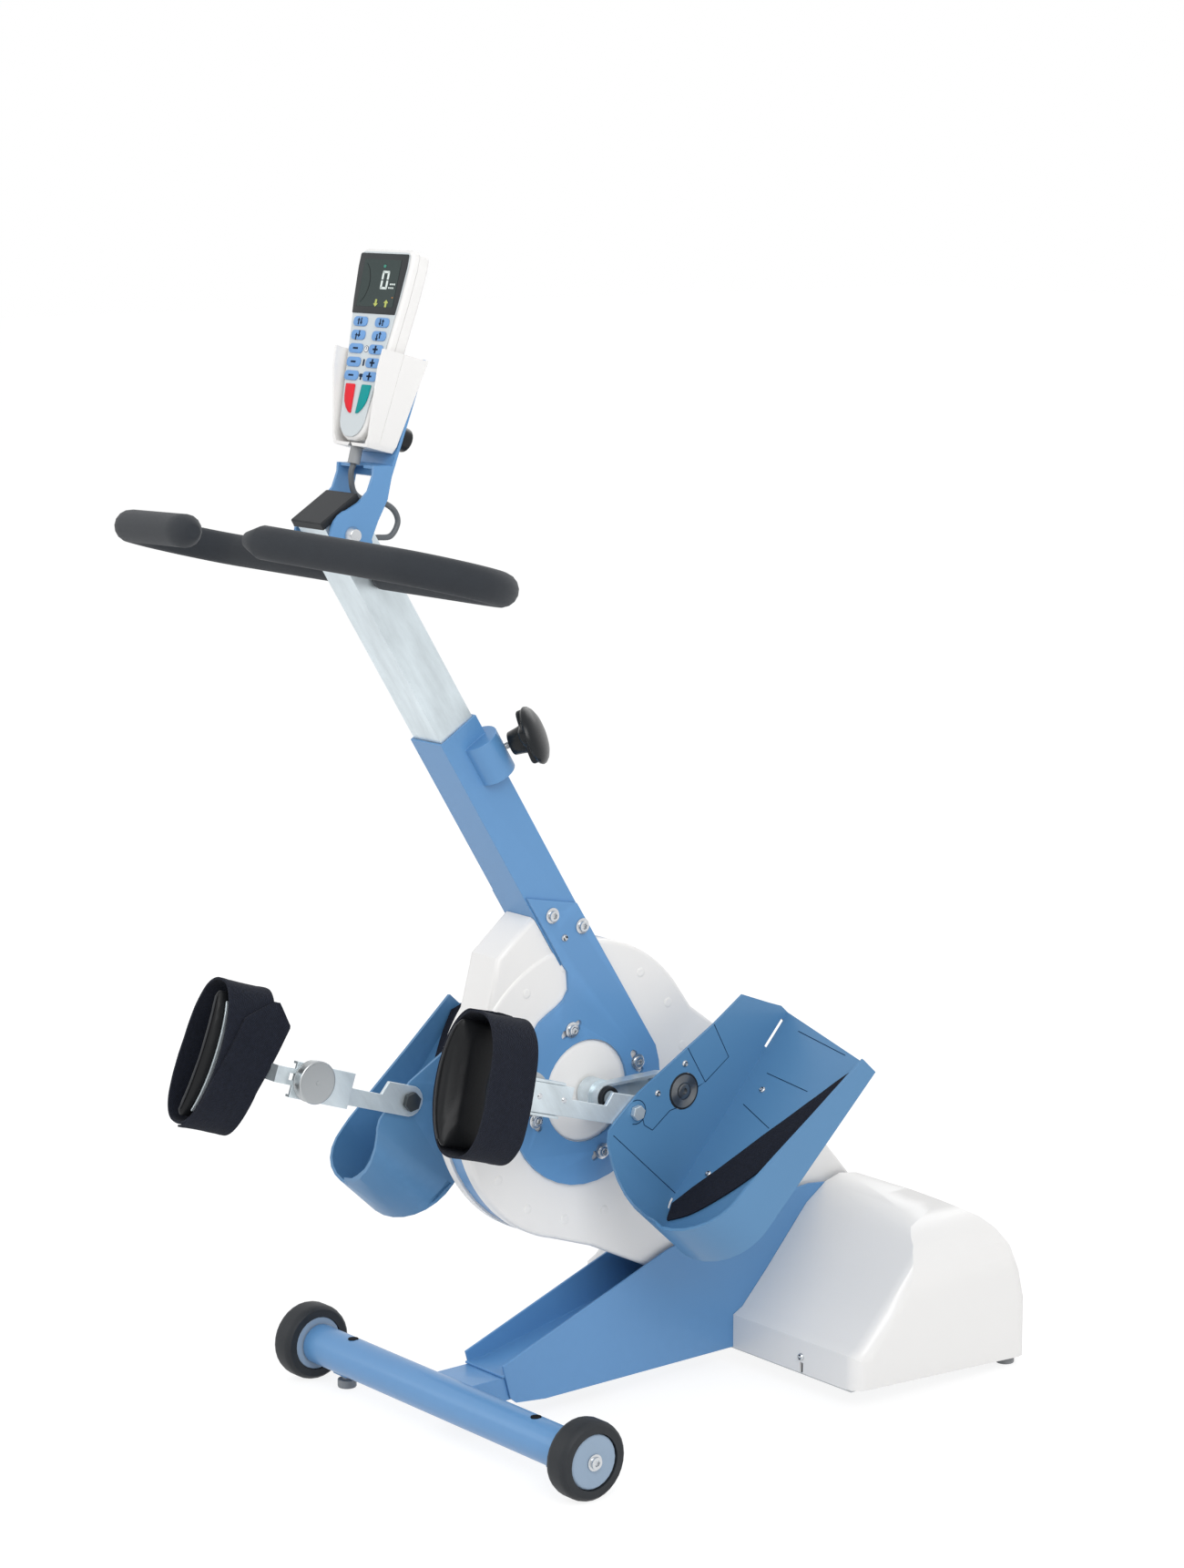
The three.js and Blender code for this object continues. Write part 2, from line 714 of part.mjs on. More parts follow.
function buildHood() {
  const outer = roundedHood(0, hoodHalfWidth, hoodRound);
  const inner = roundedHood(hoodWall, hoodHalfWidth - hoodWall, hoodRound - hoodWall);
  const below = slab([
    [hoodFront - overrun, -overrun * 2],
    [hoodFront + hoodDepth + overrun, -overrun * 2],
    [hoodFront + hoodDepth + overrun, hoodRearBottom],
    [hoodFront + hoodDepth, hoodRearBottom],
    [hoodFront + hoodRound, hoodBottom],
    [hoodFront - overrun, hoodBottom],
  ], -hoodHalfWidth - overrun, hoodHalfWidth + overrun);
  const slotHalf = frameHalfWidth + seatGap;
  const slot = block(
    [-slotHalf, hoodFront - overrun, hoodBottom - overrun],
    [slotHalf, hoodSlotEnd, hoodBottom + hoodHeight + overrun],
  );
  const tailSlot = block(
    [-drumHalfWidth - seatGap, hoodFront, hoodBottom],
    [drumHalfWidth + seatGap, hoodSlotEnd, hoodBottom + hoodHeight + overrun],
  );
  const screwAt = (depth) => [hoodScrewSide, hoodFront + depth, hoodBottom + hoodScrewHeight];
  const screwNotch = block(
    [hoodScrewSide - hoodNotchHalf, hoodFront - overrun, hoodBottom - overrun],
    [hoodScrewSide + hoodNotchHalf, hoodFront + hoodWall * 2, hoodBottom + hoodScrewHeight - smallScrewRadius * 1.4],
  );
  const screw = rod(smallScrewRadius, screwAt(hoodWall * half), screwAt(-hoodWall * 0.8), 12, smallScrewRadius * 0.7);
  const hood = cut(outer, inner, below, slot, tailSlot, screwNotch, mirrored(screwNotch));
  add(trainer, 'rear_hood', join(hood, screw, mirrored(screw)), 'white');

  const plateInset = hoodWall + seatGap * 2;
  const plateTop = frameBottom - seatGap;
  const plate = block(
    [-hoodHalfWidth + hoodWall * 4, hoodFront + plateInset, plateTop - basePlateSheet],
    [hoodHalfWidth - hoodWall * 4, hoodFront + hoodDepth - hoodWall * 4, plateTop],
  );
  add(trainer, 'base_plate', plate, 'steel');
  sides.forEach(([side, sign]) => {
    const x = sign * (hoodHalfWidth - rearFootInset);
    const y = hoodFront + hoodDepth - rearFootInset;
    const foot = rod(rearFootRadius, [x, y, 0], [x, y, plateTop - basePlateSheet - seatGap], 20);
    add(trainer, `rear_foot_${side}`, foot, 'black');
  });

  const boxGap = seatGap * 10;
  const motorInner = frameHalfWidth + boxGap;
  const motor = rod(
    motorRadius,
    [motorInner, motorDepth, motorHeight],
    [motorInner + motorLength, motorDepth, motorHeight],
    24,
  );
  const cradle = block(
    [motorInner, motorDepth - motorRadius, plateTop + seatGap],
    [motorInner + motorLength, motorDepth + motorRadius, motorHeight],
  );
  add(trainer, 'drive_motor', join(motor, cradle), 'grey');
  const boxHigh = motorHeight;
  const box = block(
    [-hoodHalfWidth + hoodRound, hoodFront + controlInset, plateTop + seatGap],
    [-frameHalfWidth - boxGap, hoodFront + hoodDepth - hoodRound * 2, boxHigh],
  );
  add(trainer, 'control_box', box, 'grey');
  const inletY = hoodFront + hoodDepth;
  const inletX = -hoodHalfWidth * half;
  const inletZ = hoodBottom + inletHalf * 2;
  const flange = block(
    [inletX - inletHalf, inletY + seatGap, inletZ - inletHalf * 0.7],
    [inletX + inletHalf, inletY + seatGap * 8, inletZ + inletHalf * 0.7],
  );
  add(trainer, 'mains_inlet', flange, 'black');
}

// Crank shaft, pulleys and belt
function buildDrive() {
  const crank = trainer;
  const shaft = rod(
    crankShaftRadius,
    [-crankInner - crankDepth, hubDepth, hubHeight],
    [crankInner + crankDepth, hubDepth, hubHeight],
    20,
  );
  add(crank, 'crank_shaft', shaft, 'steel');
  const pulleyHalf = pulleyWidth * half;
  const pulleyRing = [
    circle(hubDepth, hubHeight, crankShaftRadius + seatGap, 20).reverse(),
    ...[45, 135, 225, 315].map((turn) => {
      const [[y, z]] = arc(hubDepth, hubHeight, drivenPulleyRadius * 0.58, turn, turn + 1, 1);
      return circle(y, z, drivenPulleyRadius * 0.24, 12).reverse();
    }),
  ];
  const driven = slab(circle(hubDepth, hubHeight, drivenPulleyRadius, 40), -pulleyHalf, pulleyHalf, pulleyRing);
  add(crank, 'driven_pulley', driven, 'grey');
  const span = [motorDepth - hubDepth, motorHeight - hubHeight];
  const distance = Math.hypot(...span);
  const heading = THREE.MathUtils.radToDeg(Math.atan2(span[1], span[0]));
  const beltLoop = (offset) => {
    const large = drivenPulleyRadius + offset;
    const small = motorPulleyRadius + offset;
    const lean = THREE.MathUtils.radToDeg(Math.acos((large - small) / distance));
    return [
      ...arc(hubDepth, hubHeight, large, heading + lean, heading + 360 - lean, 32),
      ...arc(motorDepth, motorHeight, small, heading - lean, heading + lean, 10),
    ];
  };
  const belt = slab(
    beltLoop(seatGap + beltThickness),
    -beltWidth * half,
    beltWidth * half,
    [beltLoop(seatGap).reverse()],
  );
  add(trainer, 'drive_belt', belt, 'black');
  const motorInner = frameHalfWidth + seatGap * 10;
  const pulley = rod(
    motorPulleyRadius,
    [-pulleyHalf, motorDepth, motorHeight],
    [pulleyHalf, motorDepth, motorHeight],
    24,
  );
  const motorShaft = rod(
    motorShaftRadius,
    [0, motorDepth, motorHeight],
    [motorInner - seatGap, motorDepth, motorHeight],
    14,
  );
  add(trainer, 'motor_pulley', join(pulley, motorShaft), 'steel');
}

// Crank arm: a folded channel with a boss at the shaft and the pedal pin at its end
function crankArm(sign) {
  const pedalDepth = hubDepth + sign * crankRadius;
  const armHalf = crankWidth * half;
  const webFace = crankOuter - crankDepth;
  const start = Math.min(hubDepth, pedalDepth);
  const end = Math.max(hubDepth, pedalDepth);
  const round = (y, from, to) => arc(y, hubHeight, armHalf, from, to, 8);
  const outline = [...round(end, -90, 90), ...round(start, 90, 270)];
  const channel = slab(outline, webFace, crankOuter);
  const pocket = slab(inset(outline, crankWall), webFace + crankWall, crankOuter + overrun);
  const boss = rod(crankBossRadius, [crankInner, hubDepth, hubHeight], [webFace + crankWall, hubDepth, hubHeight], 24);
  const shaftHole = rod(
    crankShaftRadius + seatGap,
    [0, hubDepth, hubHeight],
    [crankInner + crankDepth + seatGap, hubDepth, hubHeight],
    20,
  );
  const cap = rod(
    crankCapRadius,
    [webFace, hubDepth, hubHeight],
    [crankOuter + crankCapHeight, hubDepth, hubHeight],
    20,
    crankCapRadius * 0.8,
  );
  const pin = rod(
    pinRadius,
    [webFace, pedalDepth, hubHeight],
    [shellInnerFace - seatGap, pedalDepth, hubHeight],
    18,
  );
  const collar = rod(
    pinRadius * 1.5,
    [webFace, pedalDepth, hubHeight],
    [crankOuter + crankCapHeight, pedalDepth, hubHeight],
    18,
  );
  return cut(join(cut(channel, pocket), boss, cap, pin, collar), shaftHole);
}

// Foot shell: a tall inner wall, a flat sole, a low outer wall and a rounded heel cup
const rimShares = [
  [-1.3, 0.445], [-0.95, 0.447], [-0.73, 0.445], [0.22, 0.403], [1.03, 0.336], [1.97, 0.252],
  [3.1, 0.16], [4.5, 0.05],
];
const innerWallShares = [[0.053, 1, 0], [0.226, 0.95, 0], [0.535, 0.757, 0], [0.704, 0.647, 0], [0.903, 0.546, 0]];
function footShell() {
  const heelSteps = 14;
  const heelHalf = shellWidthHeel * half;
  const outlineAt = (offset) => {
    const heel = Array.from({ length: heelSteps + 1 }, (unused, index) => {
      const angle = Math.PI * (1 + index / heelSteps);
      return [
        heelHalf + (heelHalf - offset) * Math.cos(angle),
        (heelReach - offset) * Math.sin(angle),
      ];
    });
    return [
      ...heel,
      [shellWidthToe - offset, soleLength - toeSkew + offset * 3],
      [shellWidthToe - offset, soleLength + offset * 3],
      [offset, soleLength + offset * 3],
    ];
  };
  const top = heelWallHeight + overrun;
  const outer = prism(outlineAt(0), -soleThickness, top);
  const inner = prism(outlineAt(shellWall), 0, top + overrun);
  const toeCut = prism([
    [-overrun, soleLength + toeSkew * overrun / shellWidthToe],
    [shellWidthToe + overrun, soleLength - toeSkew - toeSkew * overrun / shellWidthToe],
    [shellWidthToe + overrun, soleLength * 2],
    [-overrun, soleLength * 2],
  ], -overrun, top + overrun * 2);
  const rim = rimShares.map(([along, up]) => [along * heelReach, up * heelWallHeight]);
  const rimCut = slab([
    ...rim,
    [soleLength + overrun * 3, top + overrun * 2],
    [-heelReach - overrun, top + overrun * 2],
  ], heelHalf, shellWidthToe + overrun);
  const heelCut = slab([
    [-heelReach - overrun, heelWallHeight * 0.445],
    [-heelReach, heelWallHeight * 0.5],
    [-heelReach * 0.85, heelWallHeight * 0.62],
    [-heelReach * 0.15, heelWallHeight * 0.96],
    [0, heelWallHeight],
    [0, top + overrun * 2],
    [-heelReach - overrun, top + overrun * 2],
  ], -overrun, heelHalf + seatGap);
  const wall = innerWallShares.map(([along, up]) => [along * soleLength, up * heelWallHeight]);
  const wallCut = slab([
    [-overrun, heelWallHeight],
    [0, heelWallHeight],
    ...wall,
    [soleLength * 0.965, toeWallHeight * 0.45],
    [soleLength * 1.02, 0],
    [soleLength * 1.3, 0],
    [soleLength * 1.3, top + overrun * 2],
    [-overrun, top + overrun * 2],
  ], -overrun, shellWall + overrun);
  const bearingHole = rod(
    bearingRadius + seatGap,
    [-overrun, pedalAlong, pedalUp],
    [overrun, pedalAlong, pedalUp],
    24,
  );
  const guideHole = rod(
    guideBoltRadius + seatGap,
    [-overrun, guideAlong, guideUp],
    [overrun, guideAlong, guideUp],
    12,
  );
  return cut(outer, inner, toeCut, rimCut, heelCut, wallCut, bearingHole, guideHole);
}

function buildFootSide(side, sign) {
  const pedalDepth = hubDepth + sign * crankRadius;
  add(trainer, `crank_arm_${side}`, handed(crankArm(sign), sign), 'zinc');
  const group = turned(trainer, [0, pedalDepth, hubHeight], soleAngle);
  const place = (geometry) => handed(
    geometry.translate(shellInnerFace, -pedalAlong, -pedalUp),
    sign,
  );
  add(group, `foot_shell_${side}`, place(footShell()), 'blue');

  const discFace = shellWall + seatGap * 4;
  const disc = rod(bearingRadius, [seatGap, pedalAlong, pedalUp], [discFace, pedalAlong, pedalUp], 24);
  const screwHead = rod(
    bearingRadius * 0.45,
    [discFace - seatGap, pedalAlong, pedalUp],
    [discFace + seatGap * 4, pedalAlong, pedalUp],
    16,
  );
  add(group, `pedal_bearing_${side}`, place(join(disc, screwHead)), 'steel');

  const strapStart = [shellWall + strapWidth * 0.1, seatGap];
  const toeWidth = shellWidthToe - shellWall * 4;
  const strapEnd = [toeWidth, soleLength - toeSkew - strapWidth * 0.2];
  const run = Math.hypot(strapEnd[0] - strapStart[0], strapEnd[1] - strapStart[1]);
  const across = [
    (strapEnd[1] - strapStart[1]) / run * strapWidth,
    -(strapEnd[0] - strapStart[0]) / run * strapWidth,
  ];
  const strap = prism([
    strapStart,
    [strapStart[0] + across[0] * 0.5, strapStart[1] + across[1]],
    [strapStart[0] + across[0], strapStart[1] + across[1]],
    [strapEnd[0], strapEnd[1] - strapWidth],
    strapEnd,
  ], seatGap, seatGap + strapThickness);
  add(group, `foot_strap_${side}`, place(strap), 'cloth');
  buildGuide(side, sign, group);
}

// Leg guide: a flat bar hinged on the foot shell, a slider clamped along it and the calf cuff
function buildGuide(side, sign, footGroup) {
  const sole = radians(soleAngle);
  const pivotAlong = guideAlong - pedalAlong;
  const pivotUp = guideUp - pedalUp;
  const pivot = [
    0,
    footGroup.position.y + pivotAlong * Math.cos(sole) - pivotUp * Math.sin(sole),
    footGroup.position.z + pivotAlong * Math.sin(sole) + pivotUp * Math.cos(sole),
  ];
  const group = turned(trainer, pivot, -guideTilts[side]);
  const put = (name, geometry, colour) => add(group, `${name}_${side}`, handed(geometry, sign), colour);
  const slid = (name, geometry, colour) => put(name, geometry.translate(0, cuffSlides[side], 0), colour);
  const outerFace = guideInner + guideSheet;
  const bar = slab([
    ...arc(0, 0, guideLug, -80, 80, 8),
    [-guideLugLength * 0.85, guideLug * 0.95],
    [-guideLugLength, guideNeck - guideDrop],
    [-guideWideStart, guideNeck - guideDrop],
    [-guideWideStart, guideWide - guideDrop],
    [-guideReach, guideWide - guideDrop],
    [-guideReach, -guideDrop],
  ], guideInner, outerFace);
  const nutFace = shellInnerFace + shellWall + seatGap;
  const bolt = rod(guideBoltRadius, [guideInner, 0, 0], [nutFace, 0, 0], 12);
  const nut = rod(guideNutRadius, [nutFace - seatGap * half, 0, 0], [nutFace + guideNutHeight, 0, 0], 6);
  const head = rod(guideNutRadius, [guideInner - guideNutHeight, 0, 0], [outerFace, 0, 0], 6);
  put('guide_bar', join(bar, bolt, nut, head), 'zinc');
  const sliderFace = guideInner - seatGap;
  const webBack = sliderFace - sliderSheet;
  const flangeUp = guideWide - guideDrop + seatGap;
  const flangeDown = -guideDrop - seatGap;
  const flangeEnd = -guideReach - overrun;
  const web = block([webBack, flangeEnd, flangeDown], [sliderFace, -sliderStart, flangeUp]);
  const seat = sliderFace + cuffOutsets[side];
  const tongue = prism([
    [webBack, flangeEnd + overrun],
    [webBack, -tongueStep - sliderSheet],
    [seat - sliderSheet, -tongueStep - sliderSheet],
    [seat - sliderSheet, -sliderReach],
    [seat, -sliderReach],
    [seat, -tongueStep],
    [sliderFace, -tongueStep],
    [sliderFace, flangeEnd + overrun],
  ], -tongueWidth * half, tongueWidth * half);
  const flanges = [
    block([webBack, flangeEnd, flangeUp], [outerFace, -sliderStart, flangeUp + sliderSheet]),
    block([webBack, flangeEnd, flangeDown - sliderSheet], [outerFace, -sliderStart, flangeDown]),
  ];
  const slotHalf = clampStud + seatGap;
  const slot = block(
    [webBack - overrun, -clampAlong - clampRadius * 2, -slotHalf],
    [sliderFace + overrun, -clampAlong + slotHalf, slotHalf],
  );
  const slider = cut(join(web, tongue, ...flanges), slot);
  const discFace = webBack - seatGap;
  const disc = rod(clampRadius, [discFace - clampThickness, -clampAlong, 0], [discFace, -clampAlong, 0], 28);
  const stud = rod(clampStud, [discFace - seatGap, -clampAlong, 0], [guideInner - seatGap, -clampAlong, 0], 12);
  put('clamp_disc', join(disc, stud), 'steel');
  buildCuff(slid, slider, seat, side);
}

function cuffLoop(across, up, centre, fromDegrees, toDegrees, steps) {
  return Array.from({ length: steps + 1 }, (unused, index) => {
    const angle = radians(fromDegrees + (toDegrees - fromDegrees) * index / steps);
    const power = Math.cos(angle) > 0 ? 2 / cuffSquareness : 1;
    const [acrossShare, upShare] = [Math.cos(angle), Math.sin(angle)]
      .map((share) => Math.sign(share) * Math.abs(share) ** power);
    return [centre + across * acrossShare, up * upShare];
  });
}

function buildCuff(put, slider, seat, side) {
  const [halfAcross, halfUp] = [cuffHalfAcross[side], cuffHalfUps[side]];
  const lean = radians(cuffLeans[side]);
  const sway = tongueWidth * half * Math.abs(Math.sin(lean)) + seatGap * 6;
  const outerX = seat - sliderSheet - sway - clothThickness;
  const centre = outerX + halfAcross;
  const fold = (points, holes = []) => prism(points, -cuffWidth * half, cuffWidth * half, holes)
    .rotateX(Math.PI * half)
    .translate(-seat, -cuffEnd + cuffWidth * half, -cuffDrops[side])
    .rotateY(lean)
    .translate(seat, 0, 0);
  const outer = cuffLoop(halfAcross, halfUp, centre, 0, 360, 32).slice(0, -1);
  put('calf_strap', fold(outer, [inset(outer, clothThickness).reverse()]), 'cloth');

  const plateAcross = centre - seat + seatGap;
  const plateUp = halfUp - clothThickness - seatGap * 2;
  const band = (from, to, arcSpan, steps) => [
    ...cuffLoop(plateAcross - from, plateUp - from, centre, 180 - arcSpan, 180 + arcSpan, steps),
    ...cuffLoop(plateAcross - to, plateUp - to, centre, 180 + arcSpan, 180 - arcSpan, steps),
  ];
  const plate = fold(band(0, calfPlateSheet, plateArc, 10));
  put('cuff_slider', join(slider, plate), 'zinc');
  const padSteps = 12;
  const padOuter = calfPlateSheet + seatGap;
  const crown = (across, up) => Array.from({ length: padSteps + 1 }, (unused, index) => {
    const angle = radians(180 + padArc - 2 * padArc * index / padSteps);
    const swell = padThickness * Math.sin(Math.PI * (index + 1) / (padSteps + 2));
    return [centre + (across - swell) * Math.cos(angle), (up - swell) * Math.sin(angle)];
  });
  put('calf_pad', fold([
    ...cuffLoop(plateAcross - padOuter, plateUp - padOuter, centre, 180 - padArc, 180 + padArc, padSteps),
    ...crown(plateAcross - padOuter - padEdge, plateUp - padOuter - padEdge),
  ]), 'foam');
}

// Column: fixed outer tube, sliding inner tube with its clamp knob
const column = turned(trainer, [0, columnTopDepth, columnTopHeight], columnTilt);
function buildColumn() {
  const outerHalf = outerTube * half;
  const bore = outerHalf - outerWall;
  const body = block([-outerHalf, 0, -outerLength], [outerHalf, outerTube, 0]);
  const saddle = rod(
    saddleRadius,
    [saddleCentreX, saddleCentreN, -saddleTop - saddleLength],
    [saddleCentreX, saddleCentreN, -saddleTop],
    28,
  );
  const inside = block([-bore, outerWall, -outerLength - overrun], [bore, outerTube - outerWall, overrun]);
  const diagonal = Math.SQRT1_2;
  const knobAlong = -saddleTop - saddleLength * half;
  const studStart = [bore * 0.93, outerTube * half + bore * 0.93, knobAlong];
  const out = (distance) => [
    studStart[0] + distance * diagonal,
    studStart[1] + distance * diagonal,
    knobAlong,
  ];
  const studHole = rod(knobStudRadius + seatGap, out(-seatGap), out(saddleRadius * 2), 12);
  add(column, 'outer_tube', cut(join(body, saddle), inside, studHole), 'blue');

  const studTip = seatGap * 8;
  const stud = rod(knobStudRadius, out(studTip), out(knobStandOff + knobHubLength), 12);
  const hub = rod(knobHubRadius, out(knobStandOff), out(knobStandOff + knobHubLength), 20, knobHubRadius * 1.3);
  const lobes = Array.from({ length: knobLobes * 6 }, (unused, index) => {
    const angle = Math.PI * 2 * index / (knobLobes * 6);
    const radius = knobRadius * (0.85 + 0.07 * Math.cos(angle * knobLobes));
    return new THREE.Vector2(radius * Math.cos(angle), radius * Math.sin(angle));
  });
  const star = new THREE.ExtrudeGeometry(new THREE.Shape(lobes), {
    depth: knobThickness * 0.28,
    bevelEnabled: true,
    bevelSize: -knobRadius * 0.08,
    bevelThickness: knobThickness * 0.12,
    bevelSegments: 1,
  });
  const capProfile = [[0, 0], [0.93, 0], [1, 0.1], [0.9, 0.26], [0.62, 0.44], [0.3, 0.54], [0, 0.56]]
    .map(([across, up]) => new THREE.Vector2(across * knobRadius, (0.32 + up) * knobThickness));
  const dome = new THREE.LatheGeometry(capProfile, 28).rotateX(Math.PI * half);
  const outward = new THREE.Quaternion().setFromUnitVectors(
    new THREE.Vector3(0, 0, 1),
    new THREE.Vector3(diagonal, diagonal, 0),
  );
  const head = [star, dome].map((form) => form
    .applyQuaternion(outward)
    .translate(...out(knobStandOff + knobHubLength + knobThickness * 0.06)));
  add(column, 'clamp_knob', join(stud, hub, ...head), 'black');
}

function barPath(sign) {
  const points = [];
  const rearTurn = Math.atan(barRearSweep);
  const frontTurn = Math.atan(barSweep);
  points.push([sign * (innerTube * half + gripStandOff), 0]);
  points.push([sign * barRunEnd, (barRunEnd - innerTube * half) * barRearSweep]);
  const centre = [
    barRunEnd - barBend * Math.sin(rearTurn),
    (barRunEnd - innerTube * half) * barRearSweep + barBend * Math.cos(rearTurn),
  ];
  const steps = 10;
  for (let index = 1; index <= steps; index += 1) {
    const angle = rearTurn + (Math.PI - frontTurn - rearTurn) * index / steps;
    points.push([
      sign * (centre[0] + barBend * Math.sin(angle)),
      centre[1] - barBend * Math.cos(angle),
    ]);
  }
  const [bendX, bendDepth] = points[points.length - 1];
  const front = (x) => [sign * x, bendDepth + (Math.abs(bendX) - x) * barSweep];
  return { points, front };
}

// A swept bar through the given (x, forward) points in the handlebar's own plane
function barSolid(points, radius, sidesCount) {
  const curve = new THREE.CurvePath();
  const corners = points.map(([x, forward]) => new THREE.Vector3(x, -forward, 0));
  corners.slice(1).forEach((corner, index) => curve.add(new THREE.LineCurve3(corners[index], corner)));
  const rings = corners.map((corner, index) => {
    const before = corners[Math.max(index - 1, 0)];
    const after = corners[Math.min(index + 1, corners.length - 1)];
    const along = after.clone().sub(before).normalize();
    const side = new THREE.Vector3(-along.y, along.x, 0);
    return Array.from({ length: sidesCount }, (unused, step) => {
      const angle = Math.PI * 2 * step / sidesCount;
      return corner.clone()
        .addScaledVector(side, radius(index) * Math.cos(angle))
        .add(new THREE.Vector3(0, 0, radius(index) * Math.sin(angle)));
    });
  });
  const vertices = rings.flat();
  const index = [];
  for (let ring = 0; ring < rings.length - 1; ring += 1) {
    for (let step = 0; step < sidesCount; step += 1) {
      const next = (step + 1) % sidesCount;
      const a = ring * sidesCount + step;
      const b = ring * sidesCount + next;
      const c = a + sidesCount;
      const d = b + sidesCount;
      index.push(a, b, c, b, d, c);
    }
  }
  const last = (rings.length - 1) * sidesCount;
  for (let step = 1; step < sidesCount - 1; step += 1) {
    index.push(0, step + 1, step);
    index.push(last, last + step, last + step + 1);
  }
  const geometry = new THREE.BufferGeometry().setFromPoints(vertices);
  geometry.setIndex(index);
  return outwardFacing(geometry);
}

function outwardFacing(geometry) {
  const place = geometry.attributes.position;
  const corners = geometry.index.array;
  let volume = 0;
  const a = new THREE.Vector3();
  const b = new THREE.Vector3();
  const c = new THREE.Vector3();
  for (let face = 0; face < corners.length; face += 3) {
    a.fromBufferAttribute(place, corners[face]);
    b.fromBufferAttribute(place, corners[face + 1]);
    c.fromBufferAttribute(place, corners[face + 2]);
    volume += a.dot(b.cross(c));
  }
  if (volume < 0) {
    for (let face = 0; face < corners.length; face += 3) {
      [corners[face + 1], corners[face + 2]] = [corners[face + 2], corners[face + 1]];
    }
  }
  geometry.computeVertexNormals();
  return geometry;
}

function buildMast() {
  const inner = innerTube * half;
  const offset = (outerTube - innerTube) * half;
  const body = block([-inner, offset, -mastOverlap], [inner, offset + innerTube, mastReach]);
  const bore = block(
    [-inner + innerWall, offset + innerWall, -mastOverlap - overrun],
    [inner - innerWall, offset + innerTube - innerWall, mastReach + overrun],
  );
  const barHole = rod(
    barRadius + seatGap,
    [-outerTube, barThroughDepth, barAlongMast],
    [outerTube, barThroughDepth, barAlongMast],
    20,
  );
  const pivotHole = rod(
    bracketBoltRadius * half + seatGap,
    [-outerTube, headPivotDepth, headPivotAlong],
    [outerTube, headPivotDepth, headPivotAlong],
    12,
  );
  const cableHole = rod(
    cableRadius + seatGap * 2,
    [0, outerTube * half, cableEntryAlong],
    [0, outerTube + overrun, cableEntryAlong],
    12,
  );
  add(column, 'inner_tube', cut(body, bore, barHole, pivotHole, cableHole), 'zinc');
  const capHalf = outerTube * half;
  const cap = block([-capHalf, 0, mastReach + seatGap], [capHalf, outerTube, mastReach + capThickness]);
  const stub = block(
    [-inner + innerWall + seatGap, offset + innerWall + seatGap, mastReach - capThickness],
    [inner - innerWall - seatGap, offset + innerTube - innerWall - seatGap, mastReach + seatGap],
  );
  add(column, 'tube_cap', join(cap, stub), 'black');

  const bar = new THREE.Group();
  bar.position.set(0, barThroughDepth, barAlongMast);
  bar.rotation.x = radians(-columnTilt - barTilt);
  column.add(bar);
  const paths = sides.map(([, sign]) => barPath(sign));
  const endX = barFreeEnd - barSteelEnd * 0.2 + overrun;
  const steel = [
    ...[...paths[1].points, paths[1].front(endX)].reverse(),
    ...paths[0].points,
    paths[0].front(endX),
  ];
  add(bar, 'handlebar', barSolid(steel, () => barRadius, 8), 'steel');
  sides.forEach(([side, sign], order) => {
    const { points, front } = paths[order];
    const startX = sign * (innerTube * half + gripStandOff);
    const line = [
      [startX, 0],
      [startX + sign * gripRadius * 0.35, 0],
      ...points.slice(1),
      front((Math.abs(points[points.length - 1][0]) + barFreeEnd) * half),
      front(barFreeEnd),
      front(barFreeEnd - gripRadius * 0.45),
      front(barFreeEnd - gripRadius * 0.8),
      front(barFreeEnd - gripRadius),
    ];
    const last = line.length - 1;
    const radiusAt = (index) => {
      const ends = { 0: 0.8, [last]: 0.4, [last - 1]: 0.68, [last - 2]: 0.9 };
      return gripRadius * (ends[index] ?? 1);
    };
    const foam = barSolid(line, radiusAt, 12);
    const core = barSolid(
      [[startX - sign * overrun, 0], ...points, front(endX - seatGap)],
      () => barRadius + seatGap * 2,
      8,
    );
    add(bar, `grip_${side}`, cut(foam, core), 'foam');
  });
}

// Head: sheet bracket, holder, handset and its cable
const cableEntryAlong = 205;
const cheekShares = [
  [-0.30, 0.37], [0.02, 0.45], [0.42, 1.00], [0.60, 1.44], [1.03, 2.16], [1.92, 2.40],
  [2.0, 2.5], [1.95, 2.64], [1.06, 2.64], [1.0, 2.30], [0.75, 1.66], [0.32, 1.24], [-0.3, 0.93], [-0.76, 0.66],
];
function headPoint() {
  const tilt = radians(columnTilt);
  return [
    columnTopDepth + headPivotDepth * Math.cos(tilt) - headPivotAlong * Math.sin(tilt),
    columnTopHeight + headPivotDepth * Math.sin(tilt) + headPivotAlong * Math.cos(tilt),
  ];
}

